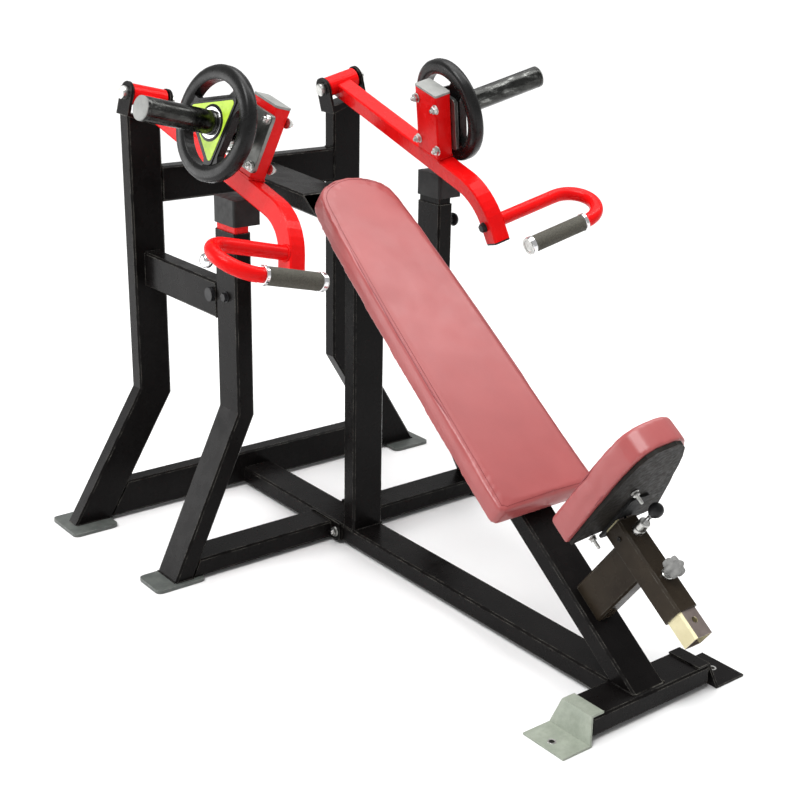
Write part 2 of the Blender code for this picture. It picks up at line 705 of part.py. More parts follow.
def grip_slot(centre, ex, n, start):
    """D-shaped hand slot through the plate: an arc outside, flat towards the hub."""
    side = ex.cross(n).normalized()
    up = n.normalized()
    outer, flat, half, steps = 85.0, 52.0, 44.0, 8
    pts = []
    for k in range(steps + 1):
        a = math.radians(start - half + 2 * half * k / steps)
        pts.append((outer * math.cos(a), outer * math.sin(a)))
    c, s = math.cos(math.radians(start)), math.sin(math.radians(start))
    for x, y in ((flat, 46.0), (flat, -46.0)):
        pts.append((x * c - y * s, x * s + y * c))
    az = side.cross(up).normalized()
    return prism(pts, centre - az * 30, side, up, 60.0)


def ring_lathe(profile, base, axis, count):
    """Ring of revolution: a closed profile of (radius, height)."""
    axis = Vector(axis).normalized()
    helper = Vector((0, 0, 1)) if abs(axis.z) < 0.8 else Vector((0, 1, 0))
    ax = axis.cross(helper).normalized()
    ay = axis.cross(ax).normalized()
    bm = bmesh.new()
    rows = []
    for radius, height in profile:
        row = []
        for k in range(count):
            angle = 2 * math.pi * k / count
            spoke = ax * (radius * math.cos(angle)) + ay * (radius * math.sin(angle))
            row.append(bm.verts.new(Vector(base) + axis * height + spoke))
        rows.append(row)
    for j in range(len(rows)):
        lower, upper = rows[j], rows[(j + 1) % len(rows)]
        for k in range(count):
            m = (k + 1) % count
            bm.faces.new((lower[k], lower[m], upper[m], upper[k]))
    return bm


HANDLE_S = 618.0
HANDLE_H = -62.0
HANDLE_REACH = 168.0
HANDLE_R = 58.0
GRIP_IN = 18.0


def build_handle(tag, sx):
    p0, ex, d, n = arm_frame(sx)
    pts = [(ARM_SIZE / 2 + GAP, HANDLE_S)]
    steps = 10
    pts.append((HANDLE_REACH, HANDLE_S))
    for k in range(1, steps + 1):
        a = math.pi * k / steps
        pts.append((HANDLE_REACH + HANDLE_R * math.sin(a),
                    HANDLE_S + HANDLE_R - HANDLE_R * math.cos(a)))
    pts.append((GRIP_IN, HANDLE_S + 2 * HANDLE_R))
    path = [arm_point(sx, a, s, HANDLE_H) for a, s in pts]
    bm = sweep(path, n, round_section(HANDLE_D, 16), round_section(HANDLE_D - 5, 16))
    finish("handle_" + tag, bm, RED, p0, True)
    low = arm_point(sx, GRIP_IN + 2, HANDLE_S + 2 * HANDLE_R, HANDLE_H)
    high = arm_point(sx, GRIP_IN + 138, HANDLE_S + 2 * HANDLE_R, HANDLE_H)
    bm = cylinder(low, high, GRIP_D, 20, HANDLE_D + 2 * GAP)
    finish("hand_grip_" + tag, bm, RUBBER, p0, True)


def build_pivots():
    for tag, sx in SIDES:
        p0, _, _, _ = arm_frame(sx)
        axis = pivot_axis(sx)
        ey = Vector((0, 1, 0))
        up = axis.cross(ey) if axis.cross(ey).z > 0 else ey.cross(axis)
        inner, outer, cheek = 46.0, 44.0, 7.0
        floor, seat = -66.0, -41.0
        # U section in (axis, up), extruded along Y
        u_shape = [(-inner - cheek, floor), (outer + cheek, floor), (outer + cheek, 27.0),
                   (outer, 27.0), (outer, seat), (-inner, seat), (-inner, 27.0),
                   (-inner - cheek, 27.0)]
        bm = prism(u_shape, p0 + ey * 27.0, axis, up, 54.0)
        depth_axis = axis.cross(up).normalized()
        if depth_axis.y > 0:
            for vert in bm.verts:
                vert.co.y -= 54.0
        clevis = finish("clevis_" + tag, bm, BLACK, p0)
        boolean(clevis, tool(clevis_profile(p0, axis, up, ey), p0), "INTERSECT")
        hole = cylinder(p0 - axis * 70, p0 + axis * 70, BOLT_D + 2 * GAP, 16)
        boolean(clevis, tool(hole, p0), "DIFFERENCE")
        # trim the bracket's foot to the post's slanted top
        trim_clevis(clevis, sx, p0)
        base = p0 - axis * (inner + cheek + 12)
        length = inner + outer + 2 * cheek + 24
        profile = [(13.0, 0.0), (15.0, 2.0), (15.0, 11.5), (BOLT_D / 2, 11.5),
                   (BOLT_D / 2, length - 11.5), (15.0, length - 11.5), (15.0, length - 2.0),
                   (13.0, length)]
        bm = lathe(profile, base, axis, 16)
        finish("pivot_bolt_" + tag, bm, STEEL, p0, True)


def clevis_profile(p0, axis, up, ey):
    """Side view of the bracket: straight sides with a round top."""
    radius, steps = 26.0, 10
    outline = [(-radius, -90.0), (radius, -90.0)]
    for k in range(steps + 1):
        a = math.pi * k / steps
        outline.append((radius * math.cos(a), radius * math.sin(a)))
    across = ey.cross(up).normalized()
    return prism(outline, p0 - across * 80.0, ey, up, 160.0)


def trim_clevis(clevis, sx, p0):
    normal = Vector((-sx * 0.36, 0.0, 1.0)).normalized()
    point = Vector((sx * REAR_X, REAR_Y, 924.0)) + normal * GAP
    side = Vector((0, 1, 0)).cross(normal)
    big = 200.0
    outline = [(-big, -big), (big, -big), (big, big), (-big, big)]
    bm = prism(outline, point, side, (0, 1, 0), big)
    centre = sum((v.co for v in bm.verts), Vector()) / len(bm.verts)
    if (centre - point).dot(normal) > 0:
        for vert in bm.verts:
            vert.co -= normal * (2 * (vert.co - point).dot(normal))
    boolean(clevis, tool(bm, p0), "DIFFERENCE")


clear_scene()
build_posts()
build_base()
build_nose_feet()
build_upper()
build_bench()
build_back_pad()
build_seat_mount()
build_seat_slide()
build_seat_pad()
build_seat_hardware()
build_stops()
drill_posts()
build_arms()
build_pivots()
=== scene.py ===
"""Looks of the incline chest press machine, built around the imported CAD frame.

Positions repeat the CAD source's drawing frame: millimetres, y measured before
the footprint is centred, turned into metres by world().
"""
import math
import random

import bmesh
import bpy
from mathutils import Matrix, Vector
from mathutils.bvhtree import BVHTree

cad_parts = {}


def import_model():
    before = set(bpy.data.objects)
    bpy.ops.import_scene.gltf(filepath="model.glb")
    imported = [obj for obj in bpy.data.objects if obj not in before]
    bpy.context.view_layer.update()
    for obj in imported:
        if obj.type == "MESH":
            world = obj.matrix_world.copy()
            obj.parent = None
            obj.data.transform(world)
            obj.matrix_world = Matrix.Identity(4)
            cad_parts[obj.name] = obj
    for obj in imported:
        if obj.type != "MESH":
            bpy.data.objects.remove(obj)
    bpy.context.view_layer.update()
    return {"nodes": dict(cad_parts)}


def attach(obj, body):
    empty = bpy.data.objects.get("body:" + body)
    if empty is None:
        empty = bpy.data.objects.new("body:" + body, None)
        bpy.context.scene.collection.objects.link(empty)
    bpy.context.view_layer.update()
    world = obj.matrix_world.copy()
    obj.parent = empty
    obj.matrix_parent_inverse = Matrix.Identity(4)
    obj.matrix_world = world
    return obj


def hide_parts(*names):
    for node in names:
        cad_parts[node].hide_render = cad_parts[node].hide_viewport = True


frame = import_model()
nodes = frame["nodes"]
rng = random.Random(7)

MM = 0.001
SHIFT_Y = 243.0
SIDES = (("L", -1), ("R", 1))


# ------------------------------------------------------------ drawing frame
def world(p):
    """A drawing point in millimetres as a scene point in metres."""
    return Vector((p[0], p[1] - SHIFT_Y, p[2])) * MM


BENCH_TILT = math.radians(37.0)
BENCH_C = 285.05
BENCH_S = Vector((0, math.cos(BENCH_TILT), math.sin(BENCH_TILT)))
BENCH_N = Vector((0, -math.sin(BENCH_TILT), math.cos(BENCH_TILT)))


def bench(s, h, x=0.0):
    """Point s along the bench, h above its board line and x across."""
    return BENCH_S * s + BENCH_N * (h + BENCH_C) + Vector((x, 0, 0))


SEAT_TILT = math.radians(36.0)
SEAT_S = Vector((0, math.cos(SEAT_TILT), math.sin(SEAT_TILT)))
SEAT_N = Vector((0, -math.sin(SEAT_TILT), math.cos(SEAT_TILT)))
SEAT_MID = bench(-133.0, 174.0)


def seat(t, k, x=0.0):
    """Point t along the seat's tube, k out of its front face and x across."""
    return SEAT_MID + SEAT_S * t + SEAT_N * k + Vector((x, 0, 0))


ARM_T, ARM_PITCH, ARM_TOE = (math.radians(v) for v in (16.47, 15.69, 6.27))


def arm_frame(sx):
    """Pivot centre of a press arm, with its outward, forward and upward axes."""
    ex = Vector((sx * math.cos(ARM_T), 0, math.sin(ARM_T)))
    ec = Vector((-sx * math.sin(ARM_T), 0, math.cos(ARM_T)))
    ey = Vector((0, 1, 0))
    d = -math.cos(ARM_PITCH) * ey - math.sin(ARM_PITCH) * ec
    n = -math.sin(ARM_PITCH) * ey + math.cos(ARM_PITCH) * ec
    d2 = math.cos(ARM_TOE) * d - math.sin(ARM_TOE) * ex
    ex2 = math.cos(ARM_TOE) * ex + math.sin(ARM_TOE) * d
    return Vector((sx * 260.8, 942.7, 975.6)), ex2, d2, n


def arm(sx, a, s, h):
    """Point on a press arm: a outwards, s forwards and h up from its pivot."""
    p0, ex, d, n = arm_frame(sx)
    return p0 + ex * a + d * s + n * h


def mast_axes(sx):
    """Outward axis, and the two axes of the mast that leans on the arm."""
    _, ex, d, n = arm_frame(sx)
    lean = math.radians(2.5)
    return ex, d * math.cos(lean) + n * math.sin(lean), n * math.cos(lean) - d * math.sin(lean)


# ------------------------------------------------------------ materials
class Mat:
    """A Principled material with a few helpers for node graphs."""

    def __init__(self, name):
        self.mat = bpy.data.materials.new(name)
        self.mat.use_nodes = True
        self.nt = self.mat.node_tree
        self.bsdf = self.nt.nodes["Principled BSDF"]
        coord = self.nt.nodes.new("ShaderNodeTexCoord")
        self.coord = coord.outputs["Object"]

    def new(self, kind, **values):
        node = self.nt.nodes.new(kind)
        for key, value in values.items():
            if hasattr(node, key):
                setattr(node, key, value)
            else:
                node.inputs[key].default_value = value
        return node

    def link(self, a, b):
        self.nt.links.new(a, b)

    def set(self, **values):
        for key, value in values.items():
            self.bsdf.inputs[key.replace("_", " ")].default_value = value
        return self

    def mapped(self, scale):
        node = self.new("ShaderNodeMapping")
        node.inputs["Scale"].default_value = scale
        self.link(self.coord, node.inputs["Vector"])
        return node.outputs[0]

    def noise(self, scale, detail=3.0, rough=0.5, stretch=None):
        node = self.new("ShaderNodeTexNoise")
        node.inputs["Scale"].default_value = scale
        node.inputs["Detail"].default_value = detail
        node.inputs["Roughness"].default_value = rough
        self.link(self.mapped(stretch) if stretch else self.coord, node.inputs["Vector"])
        return node.outputs["Fac"]

    def voronoi(self, scale, feature="F1"):
        node = self.new("ShaderNodeTexVoronoi", feature=feature)
        node.inputs["Scale"].default_value = scale
        self.link(self.coord, node.inputs["Vector"])
        return node.outputs["Distance"]

    def ramp(self, source, stops):
        node = self.new("ShaderNodeValToRGB")
        ramp = node.color_ramp
        ramp.elements[0].position, ramp.elements[0].color = stops[0][0], (*stops[0][1], 1)
        ramp.elements[1].position, ramp.elements[1].color = stops[-1][0], (*stops[-1][1], 1)
        for pos, colour in stops[1:-1]:
            element = ramp.elements.new(pos)
            element.color = (*colour, 1)
        self.link(source, node.inputs["Fac"])
        return node.outputs["Color"]

    def scalar(self, source, low, high, lo=0.0, hi=1.0):
        node = self.new("ShaderNodeMapRange")
        node.inputs["From Min"].default_value = low
        node.inputs["From Max"].default_value = high
        node.inputs["To Min"].default_value = lo
        node.inputs["To Max"].default_value = hi
        self.link(source, node.inputs["Value"])
        return node.outputs["Result"]

    def mix(self, fac, a, b):
        node = self.new("ShaderNodeMix", data_type="RGBA")
        self.link(fac, node.inputs[0])
        for socket, value in ((node.inputs[6], a), (node.inputs[7], b)):
            if isinstance(value, tuple):
                socket.default_value = (*value, 1)
            else:
                self.link(value, socket)
        return node.outputs[2]

    def bump(self, height, strength, distance, below=None):
        node = self.new("ShaderNodeBump")
        node.inputs["Strength"].default_value = strength
        node.inputs["Distance"].default_value = distance
        self.link(height, node.inputs["Height"])
        if below:
            self.link(below, node.inputs["Normal"])
        return node.outputs["Normal"]

    def edges(self, radius, low, high):
        """Mask of edges, where the rounded normal leaves the true one: worn edges, and on the black
        coat also painted edge highlights.
        """
        bevel = self.new("ShaderNodeBevel", samples=4)
        bevel.inputs["Radius"].default_value = radius
        geo = self.new("ShaderNodeNewGeometry")
        dot = self.new("ShaderNodeVectorMath", operation="DOT_PRODUCT")
        self.link(bevel.outputs["Normal"], dot.inputs[0])
        self.link(geo.outputs["Normal"], dot.inputs[1])
        return self.scalar(dot.outputs["Value"], high, low, 1.0, 0.0)

    def colour(self, out):
        self.link(out, self.bsdf.inputs["Base Color"])

    def rough(self, out):
        self.link(out, self.bsdf.inputs["Roughness"])

    def normal(self, out):
        self.link(out, self.bsdf.inputs["Normal"])


def times(m, a, b):
    node = m.new("ShaderNodeMath", operation="MULTIPLY")
    m.link(a, node.inputs[0])
    m.link(b, node.inputs[1])
    return node.outputs[0]


def black_coat(name="black_coat", tint=(1.0, 1.0, 1.0), level=1.0):
    m = Mat(name).set(Specular_IOR_Level=0.07)

    def tone(colour):
        return tuple(level * a * b for a, b in zip(colour, tint))

    cloud = m.noise(9.0, 4.0, 0.6)
    base = m.ramp(cloud, ((0.3, tone((0.0035, 0.003, 0.003))), (0.7, tone((0.007, 0.0062, 0.006)))))
    dust = m.scalar(m.noise(55.0, 5.0, 0.7), 0.6, 0.85, 0.0, 0.3)
    base = m.mix(dust, base, (0.014, 0.013, 0.012))
    # lighter edges: partly real wear, partly a painted highlight along the tube edges
    edge_tint = times(m, m.edges(0.0028, 0.975, 0.9), m.scalar(m.noise(28.0, 5.0, 0.75), 0.42, 0.6))
    m.colour(m.mix(edge_tint, base, (0.12, 0.115, 0.10)))
    m.rough(m.scalar(m.noise(26.0, 4.0, 0.6), 0.3, 0.75, 0.2, 0.36))
    m.normal(m.bump(m.noise(520.0, 2.0), 0.05, 0.0006))
    return m.mat


def red_coat():
    m = Mat("red_coat").set(Specular_IOR_Level=0.09, Coat_Weight=0.05, Coat_Roughness=0.08)
    base = m.ramp(m.noise(12.0, 3.0), ((0.3, (0.62, 0.003, 0.004)), (0.7, (0.74, 0.006, 0.006))))
    edge_tint = times(m, m.edges(0.0012, 0.88, 0.7), m.scalar(m.noise(90.0, 4.0, 0.7), 0.6, 0.7))
    m.colour(m.mix(edge_tint, base, (0.30, 0.02, 0.02)))
    m.rough(m.scalar(m.noise(40.0, 3.0), 0.3, 0.7, 0.2, 0.32))
    m.normal(m.bump(m.noise(380.0, 2.0), 0.04, 0.0006))
    return m.mat


def steel(name, dark, light, metal, rlo, rhi, scale=60.0, stretch=None, bump=0.05):
    m = Mat(name).set(Metallic=metal)
    n = m.noise(scale, 5.0, 0.65, stretch)
    m.colour(m.ramp(n, ((0.3, dark), (0.72, light))))
    m.rough(m.scalar(m.noise(scale * 0.6, 4.0), 0.3, 0.75, rlo, rhi))
    m.normal(m.bump(m.noise(scale * 6.0, 3.0), bump, 0.0004))
    return m.mat


def horn_steel():
    m = Mat("horn_steel").set(Metallic=1.0)
    streak = m.noise(60.0, 6.0, 0.75, (0.35, 1.0, 1.0))
    base = m.ramp(streak, ((0.35, (0.022, 0.022, 0.021)), (0.56, (0.06, 0.061, 0.058)),
                           (0.72, (0.30, 0.305, 0.29))))
    m.colour(base)
    m.rough(m.scalar(m.noise(90.0, 4.0), 0.3, 0.7, 0.12, 0.34))
    m.normal(m.bump(m.noise(300.0, 3.0), 0.06, 0.0004))
    return m.mat


def painted(name, a, b, rlo, rhi, chip=(0.3, 0.3, 0.28), grain=0.08):
    m = Mat(name)
    base = m.ramp(m.noise(40.0, 5.0, 0.65), ((0.3, a), (0.7, b)))
    edge_tint = times(m, m.edges(0.002, 0.92, 0.8), m.scalar(m.noise(120.0, 4.0), 0.45, 0.62))
    m.colour(m.mix(edge_tint, base, chip))
    m.rough(m.scalar(m.noise(70.0, 4.0), 0.3, 0.75, rlo, rhi))
    m.normal(m.bump(m.noise(700.0, 3.0), grain, 0.0005))
    return m.mat


def rubber(name, tone, rlo, rhi, cell=1500.0, strength=0.12):
    m = Mat(name).set(Specular_IOR_Level=0.2)
    c = tuple(v * 1.8 for v in tone)
    m.colour(m.ramp(m.noise(35.0, 5.0, 0.6), ((0.35, tone), (0.75, c))))
    m.rough(m.scalar(m.noise(80.0, 4.0), 0.3, 0.75, rlo, rhi))
    m.normal(m.bump(m.noise(cell, 2.0), strength, 0.0004))
    return m.mat


def knurl_grip():
    """Rubber grip sleeve with a fine pebbled surface."""
    m = Mat("knurled_grip").set(Specular_IOR_Level=0.35)
    cells = m.voronoi(620.0)
    m.colour(m.ramp(cells, ((0.1, (0.12, 0.115, 0.09)), (0.6, (0.055, 0.052, 0.042)))))
    m.rough(m.scalar(m.noise(200.0, 3.0), 0.3, 0.75, 0.62, 0.85))
    m.normal(m.bump(cells, 0.5, 0.0008))
    return m.mat


def vinyl(name, dark, light):
    m = Mat(name).set(Specular_IOR_Level=0.5)
    m.colour(m.ramp(m.noise(6.0, 4.0, 0.55), ((0.3, dark), (0.7, light))))
    m.rough(m.scalar(m.noise(22.0, 4.0), 0.3, 0.75, 0.3, 0.42))
    grain = m.voronoi(760.0, "SMOOTH_F1")
    fold = m.bump(m.noise(14.0, 2.0, 0.5), 0.06, 0.004)
    m.normal(m.bump(grain, 0.22, 0.0005, fold))
    return m.mat


def board_cloth():
    m = Mat("board_cover").set(Specular_IOR_Level=0.12)
    m.colour(m.ramp(m.noise(60.0, 5.0), ((0.3, (0.006, 0.0055, 0.005)), (0.7, (0.017, 0.0145, 0.012)))))
    m.rough(m.scalar(m.noise(120.0, 4.0), 0.3, 0.7, 0.45, 0.7))
    m.normal(m.bump(m.noise(240.0, 5.0), 0.25, 0.0012))
    return m.mat


def inner_tube():
    """Bare tube coloured by face direction: a painted cream reflection on its sides, duller steel on
    its front and back.
    """
    m = Mat("inner_tube").set(Metallic=0.35)
    geo = m.new("ShaderNodeNewGeometry")
    split = m.new("ShaderNodeSeparateXYZ")
    m.link(geo.outputs["Normal"], split.inputs[0])
    side = m.new("ShaderNodeMath", operation="ABSOLUTE")
    m.link(split.outputs[0], side.inputs[0])
    painted_side_reflection = m.ramp(m.noise(20.0, 5.0, 0.65), ((0.3, (0.56, 0.50, 0.30)), (0.7, (0.68, 0.62, 0.40))))
    dull = m.ramp(m.noise(30.0, 5.0, 0.65), ((0.3, (0.12, 0.095, 0.085)), (0.7, (0.20, 0.165, 0.15))))
    # faces pointing across get the painted cream reflection, front and back faces the dull steel
    m.colour(m.mix(m.scalar(side.outputs[0], 0.3, 0.7), dull, painted_side_reflection))
    m.rough(m.scalar(m.noise(60.0, 4.0), 0.3, 0.75, 0.32, 0.48))
    m.normal(m.bump(m.noise(300.0, 3.0), 0.05, 0.0004))
    return m.mat


def lime():
    m = Mat("lime_insert").set(Specular_IOR_Level=0.5)
    m.colour(m.ramp(m.noise(90.0, 4.0), ((0.3, (0.40, 0.62, 0.035)), (0.7, (0.52, 0.74, 0.06)))))
    m.rough(m.scalar(m.noise(150.0, 3.0), 0.3, 0.7, 0.32, 0.5))
    m.normal(m.bump(m.noise(900.0, 2.0), 0.08, 0.0004))
    return m.mat


BLACK = black_coat()
BROWN = black_coat("brown_black_coat", (1.0, 0.86, 0.6), 5.0)
MATTE = rubber("matte_black", (0.006, 0.006, 0.006), 0.55, 0.75)
RED = red_coat()
STEEL = steel("zinc_bolts", (0.42, 0.42, 0.40), (0.72, 0.72, 0.70), 1.0, 0.22, 0.42)
CHROME = steel("bright_chrome", (0.70, 0.70, 0.71), (0.85, 0.85, 0.86), 1.0, 0.08, 0.18)
HORN = horn_steel()
FLANGE = steel("flange_steel", (0.11, 0.115, 0.11), (0.26, 0.265, 0.25), 0.85, 0.24, 0.42, 30.0)
INNER = inner_tube()
GREY = painted("grey_plate", (0.055, 0.062, 0.058), (0.10, 0.11, 0.10), 0.35, 0.55)
PALE = painted("pale_plate", (0.22, 0.25, 0.20), (0.32, 0.35, 0.29), 0.42, 0.6, (0.2, 0.2, 0.18))
CAP = painted("grey_cap", (0.20, 0.205, 0.195), (0.30, 0.305, 0.29), 0.4, 0.58, (0.1, 0.1, 0.1))
RUBBER = rubber("black_rubber", (0.012, 0.012, 0.012), 0.38, 0.58)
PLATE = rubber("plate_rubber", (0.006, 0.006, 0.006), 0.22, 0.36, 900.0, 0.06)
PLASTIC = rubber("black_plastic", (0.012, 0.012, 0.013), 0.28, 0.45, 1800.0, 0.06)
KNOB = rubber("grey_knob", (0.17, 0.17, 0.165), 0.3, 0.5, 1500.0, 0.08)
GRIP = knurl_grip()
VINYL = vinyl("rose_vinyl", (0.30, 0.062, 0.062), (0.36, 0.080, 0.079))
PIPING = vinyl("rose_piping", (0.20, 0.022, 0.027), (0.25, 0.030, 0.036))
BOARD = board_cloth()
LIME = lime()
THREAD = rubber("seam_thread", (0.16, 0.025, 0.03), 0.5, 0.7, 2500.0, 0.3)

# look of each CAD node by the start of its name; all others are black
CARRIED = {
    "foot_plate": GREY, "press_arm": RED, "mast_cap": CAP, "arm_end_cap": PLASTIC,
    "pivot_bolt": STEEL, "seat_inner_tube": INNER, "stop_bumper": RUBBER, "rail_cap": PLASTIC,
    "back_board": BOARD, "seat_board": BOARD, "seat_stub": BROWN, "seat_sleeve": BROWN,
    "seat_bracket": MATTE, "nose_foot_L": PALE, "stop_post_L": RED,
}


def dress_cad():
    """Materials and rounded edges for the CAD nodes that stay in view."""
    for name, obj in nodes.items():
        look = next((mat for key, mat in CARRIED.items() if name.startswith(key)), BLACK)
        for slot in obj.material_slots:
            slot.material = look
        if not obj.material_slots:
            obj.data.materials.append(look)
        bevel = obj.modifiers.new("soft_edges", "BEVEL")
        bevel.width = 0.0012
        bevel.segments = 2
        bevel.limit_method = "ANGLE"
        bevel.angle_limit = math.radians(28)
        bevel.harden_normals = True


dress_cad()


# ------------------------------------------------------------ mesh helpers
def to_object(name, bm, mat, body, smooth=35.0):
    """Turns a bmesh into a named piece that rides on a body."""
    bmesh.ops.remove_doubles(bm, verts=bm.verts, dist=1e-5)
    bmesh.ops.recalc_face_normals(bm, faces=bm.faces)
    mesh = bpy.data.meshes.new(name)
    bm.to_mesh(mesh)
    bm.free()
    mesh.materials.append(mat)
    obj = bpy.data.objects.new(name, mesh)
    bpy.context.scene.collection.objects.link(obj)
    mesh.shade_smooth()
    if smooth is not None:
        mesh.set_sharp_from_angle(angle=math.radians(smooth))
    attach(obj, body)
    return obj


def soften(obj, width, segments=2, angle=30.0):
    """Rounds the sharp edges of a piece."""
    mod = obj.modifiers.new("round", "BEVEL")
    mod.width = width
    mod.segments = segments
    mod.limit_method = "ANGLE"
    mod.angle_limit = math.radians(angle)
    mod.harden_normals = True
    return obj


def axes_for(axis):
    """The unit axis and two directions square to it."""
    axis = Vector(axis).normalized()
    helper = Vector((0, 0, 1)) if abs(axis.z) < 0.8 else Vector((0, 1, 0))
    ax = axis.cross(helper).normalized()
    return axis, ax, axis.cross(ax).normalized()


def lathe_into(bm, profile, base, axis, count=48, closed=False):
    """Adds a solid of revolution; profile is (radius, height) in mm."""
    axis, ax, ay = axes_for(axis)
    rows = []
    for radius, height in profile:
        row = []
        for k in range(count):
            a = 2 * math.pi * k / count
            p = Vector(base) + axis * height + ax * (radius * math.cos(a)) + ay * (radius * math.sin(a))
            row.append(bm.verts.new(world(p)))
        rows.append(row)
    pairs = list(zip(rows[:-1], rows[1:]))
    if closed:
        pairs.append((rows[-1], rows[0]))
    for lower, upper in pairs:
        for k in range(count):
            m = (k + 1) % count
            bm.faces.new((lower[k], lower[m], upper[m], upper[k]))
    if not closed:
        bm.faces.new(rows[0])
        bm.faces.new(rows[-1])


def prism_into(bm, outline, origin, ax, ay, depth):
    """Adds a flat outline in mm, pushed out by depth."""
    origin, ax, ay = Vector(origin), Vector(ax), Vector(ay)
    az = ax.cross(ay).normalized()
    low = [bm.verts.new(world(origin + ax * x + ay * y)) for x, y in outline]
    high = [bm.verts.new(world(origin + ax * x + ay * y + az * depth)) for x, y in outline]
    bm.faces.new(low)
    bm.faces.new(high)
    for k in range(len(low)):
        m = (k + 1) % len(low)
        bm.faces.new((low[k], low[m], high[m], high[k]))


def tube_into(bm, path, radius, count=12, closed=False):
    """Round tube through world points given in metres."""
    total = len(path)
    rows = []
    up = None
    for k, p in enumerate(path):
        if closed:
            tangent = (path[(k + 1) % total] - path[k - 1]).normalized()
        else:
            tangent = (path[min(k + 1, total - 1)] - path[max(k - 1, 0)]).normalized()
        if up is None:
            up = tangent.orthogonal().normalized()
        up = (up - tangent * up.dot(tangent)).normalized()
        side = tangent.cross(up)
        r = radius[k] if isinstance(radius, (list, tuple)) else radius
        rows.append([bm.verts.new(p + up * (r * math.cos(2 * math.pi * j / count))
                                  + side * (r * math.sin(2 * math.pi * j / count)))
                     for j in range(count)])
    pairs = list(zip(rows[:-1], rows[1:]))
    if closed:
        pairs.append((rows[-1], rows[0]))
    for lower, upper in pairs:
        shift = 0
        if closed and upper is rows[0]:
            shift = min(range(count), key=lambda s: (upper[s].co - lower[0].co).length)
        for j in range(count):
            m = (j + 1) % count
            bm.faces.new((lower[j], lower[m], upper[(m + shift) % count], upper[(j + shift) % count]))
    if not closed:
        bm.faces.new(rows[0])
        bm.faces.new(rows[-1])


def rounded(x0, x1, y0, y1, radius, steps=6):
    """Rectangle with round corners."""
    pts = []
    for cx, cy, start in ((x1 - radius, y1 - radius, 0), (x0 + radius, y1 - radius, 90),
                          (x0 + radius, y0 + radius, 180), (x1 - radius, y0 + radius, 270)):
        for k in range(steps + 1):
            a = math.radians(start + 90.0 * k / steps)
            pts.append((cx + radius * math.cos(a), cy + radius * math.sin(a)))
    return pts


def hexagon(across, turn=0.0):
    r = across / math.sqrt(3.0)
    return [(r * math.cos(turn + math.pi * k / 3), r * math.sin(turn + math.pi * k / 3))
            for k in range(6)]


def bolt(name, base, axis, body, across=17.0, head=6.5, stud=0.0, washer=True, mat=None):
    """Hex head or nut with a washer, and a stub of thread where stud > 0."""
    axis, ax, ay = axes_for(axis)
    bm = bmesh.new()
    z = 0.0
    if washer:
        lathe_into(bm, ((across * 0.62, 0.0), (across * 0.68, 0.4), (across * 0.68, 1.4),
                        (across * 0.64, 1.8)), base, axis, 28)
        z = 1.8
    turn = rng.uniform(0, math.pi / 3)
    chamfer = [(x * 0.93, y * 0.93) for x, y in hexagon(across, turn)]
    rows = []
    for outline, h in ((chamfer, z), (hexagon(across, turn), z + 0.8),
                       (hexagon(across, turn), z + head - 0.9), (chamfer, z + head)):
        rows.append([bm.verts.new(world(Vector(base) + axis * h + ax * x + ay * y))
                     for x, y in outline])
    for lower, upper in zip(rows[:-1], rows[1:]):
        for k in range(6):
            m = (k + 1) % 6
            bm.faces.new((lower[k], lower[m], upper[m], upper[k]))
    bm.faces.new(rows[0])
    bm.faces.new(rows[-1])
    if stud > 0:
        r = across * 0.29
        profile = []
        h = z + head
        pitch = 1.5
        while h < z + head + stud:
            profile += [(r, h), (r * 0.86, h + pitch * 0.5)]
            h += pitch
        profile += [(r * 0.86, h), (r * 0.6, h + 0.8)]
        lathe_into(bm, profile, base, axis, 20)
    return to_object(name, bm, mat or STEEL, body, 30.0)


# ------------------------------------------------------------ pads
HELD_DEPTH = 0.0125
PAD_PRESSURE = 1.4
CROWN_LIMIT = 0.003
CLOTH_FRAMES = 20


def nearest_on(obj):
    return BVHTree.FromObject(obj, bpy.context.evaluated_depsgraph_get())


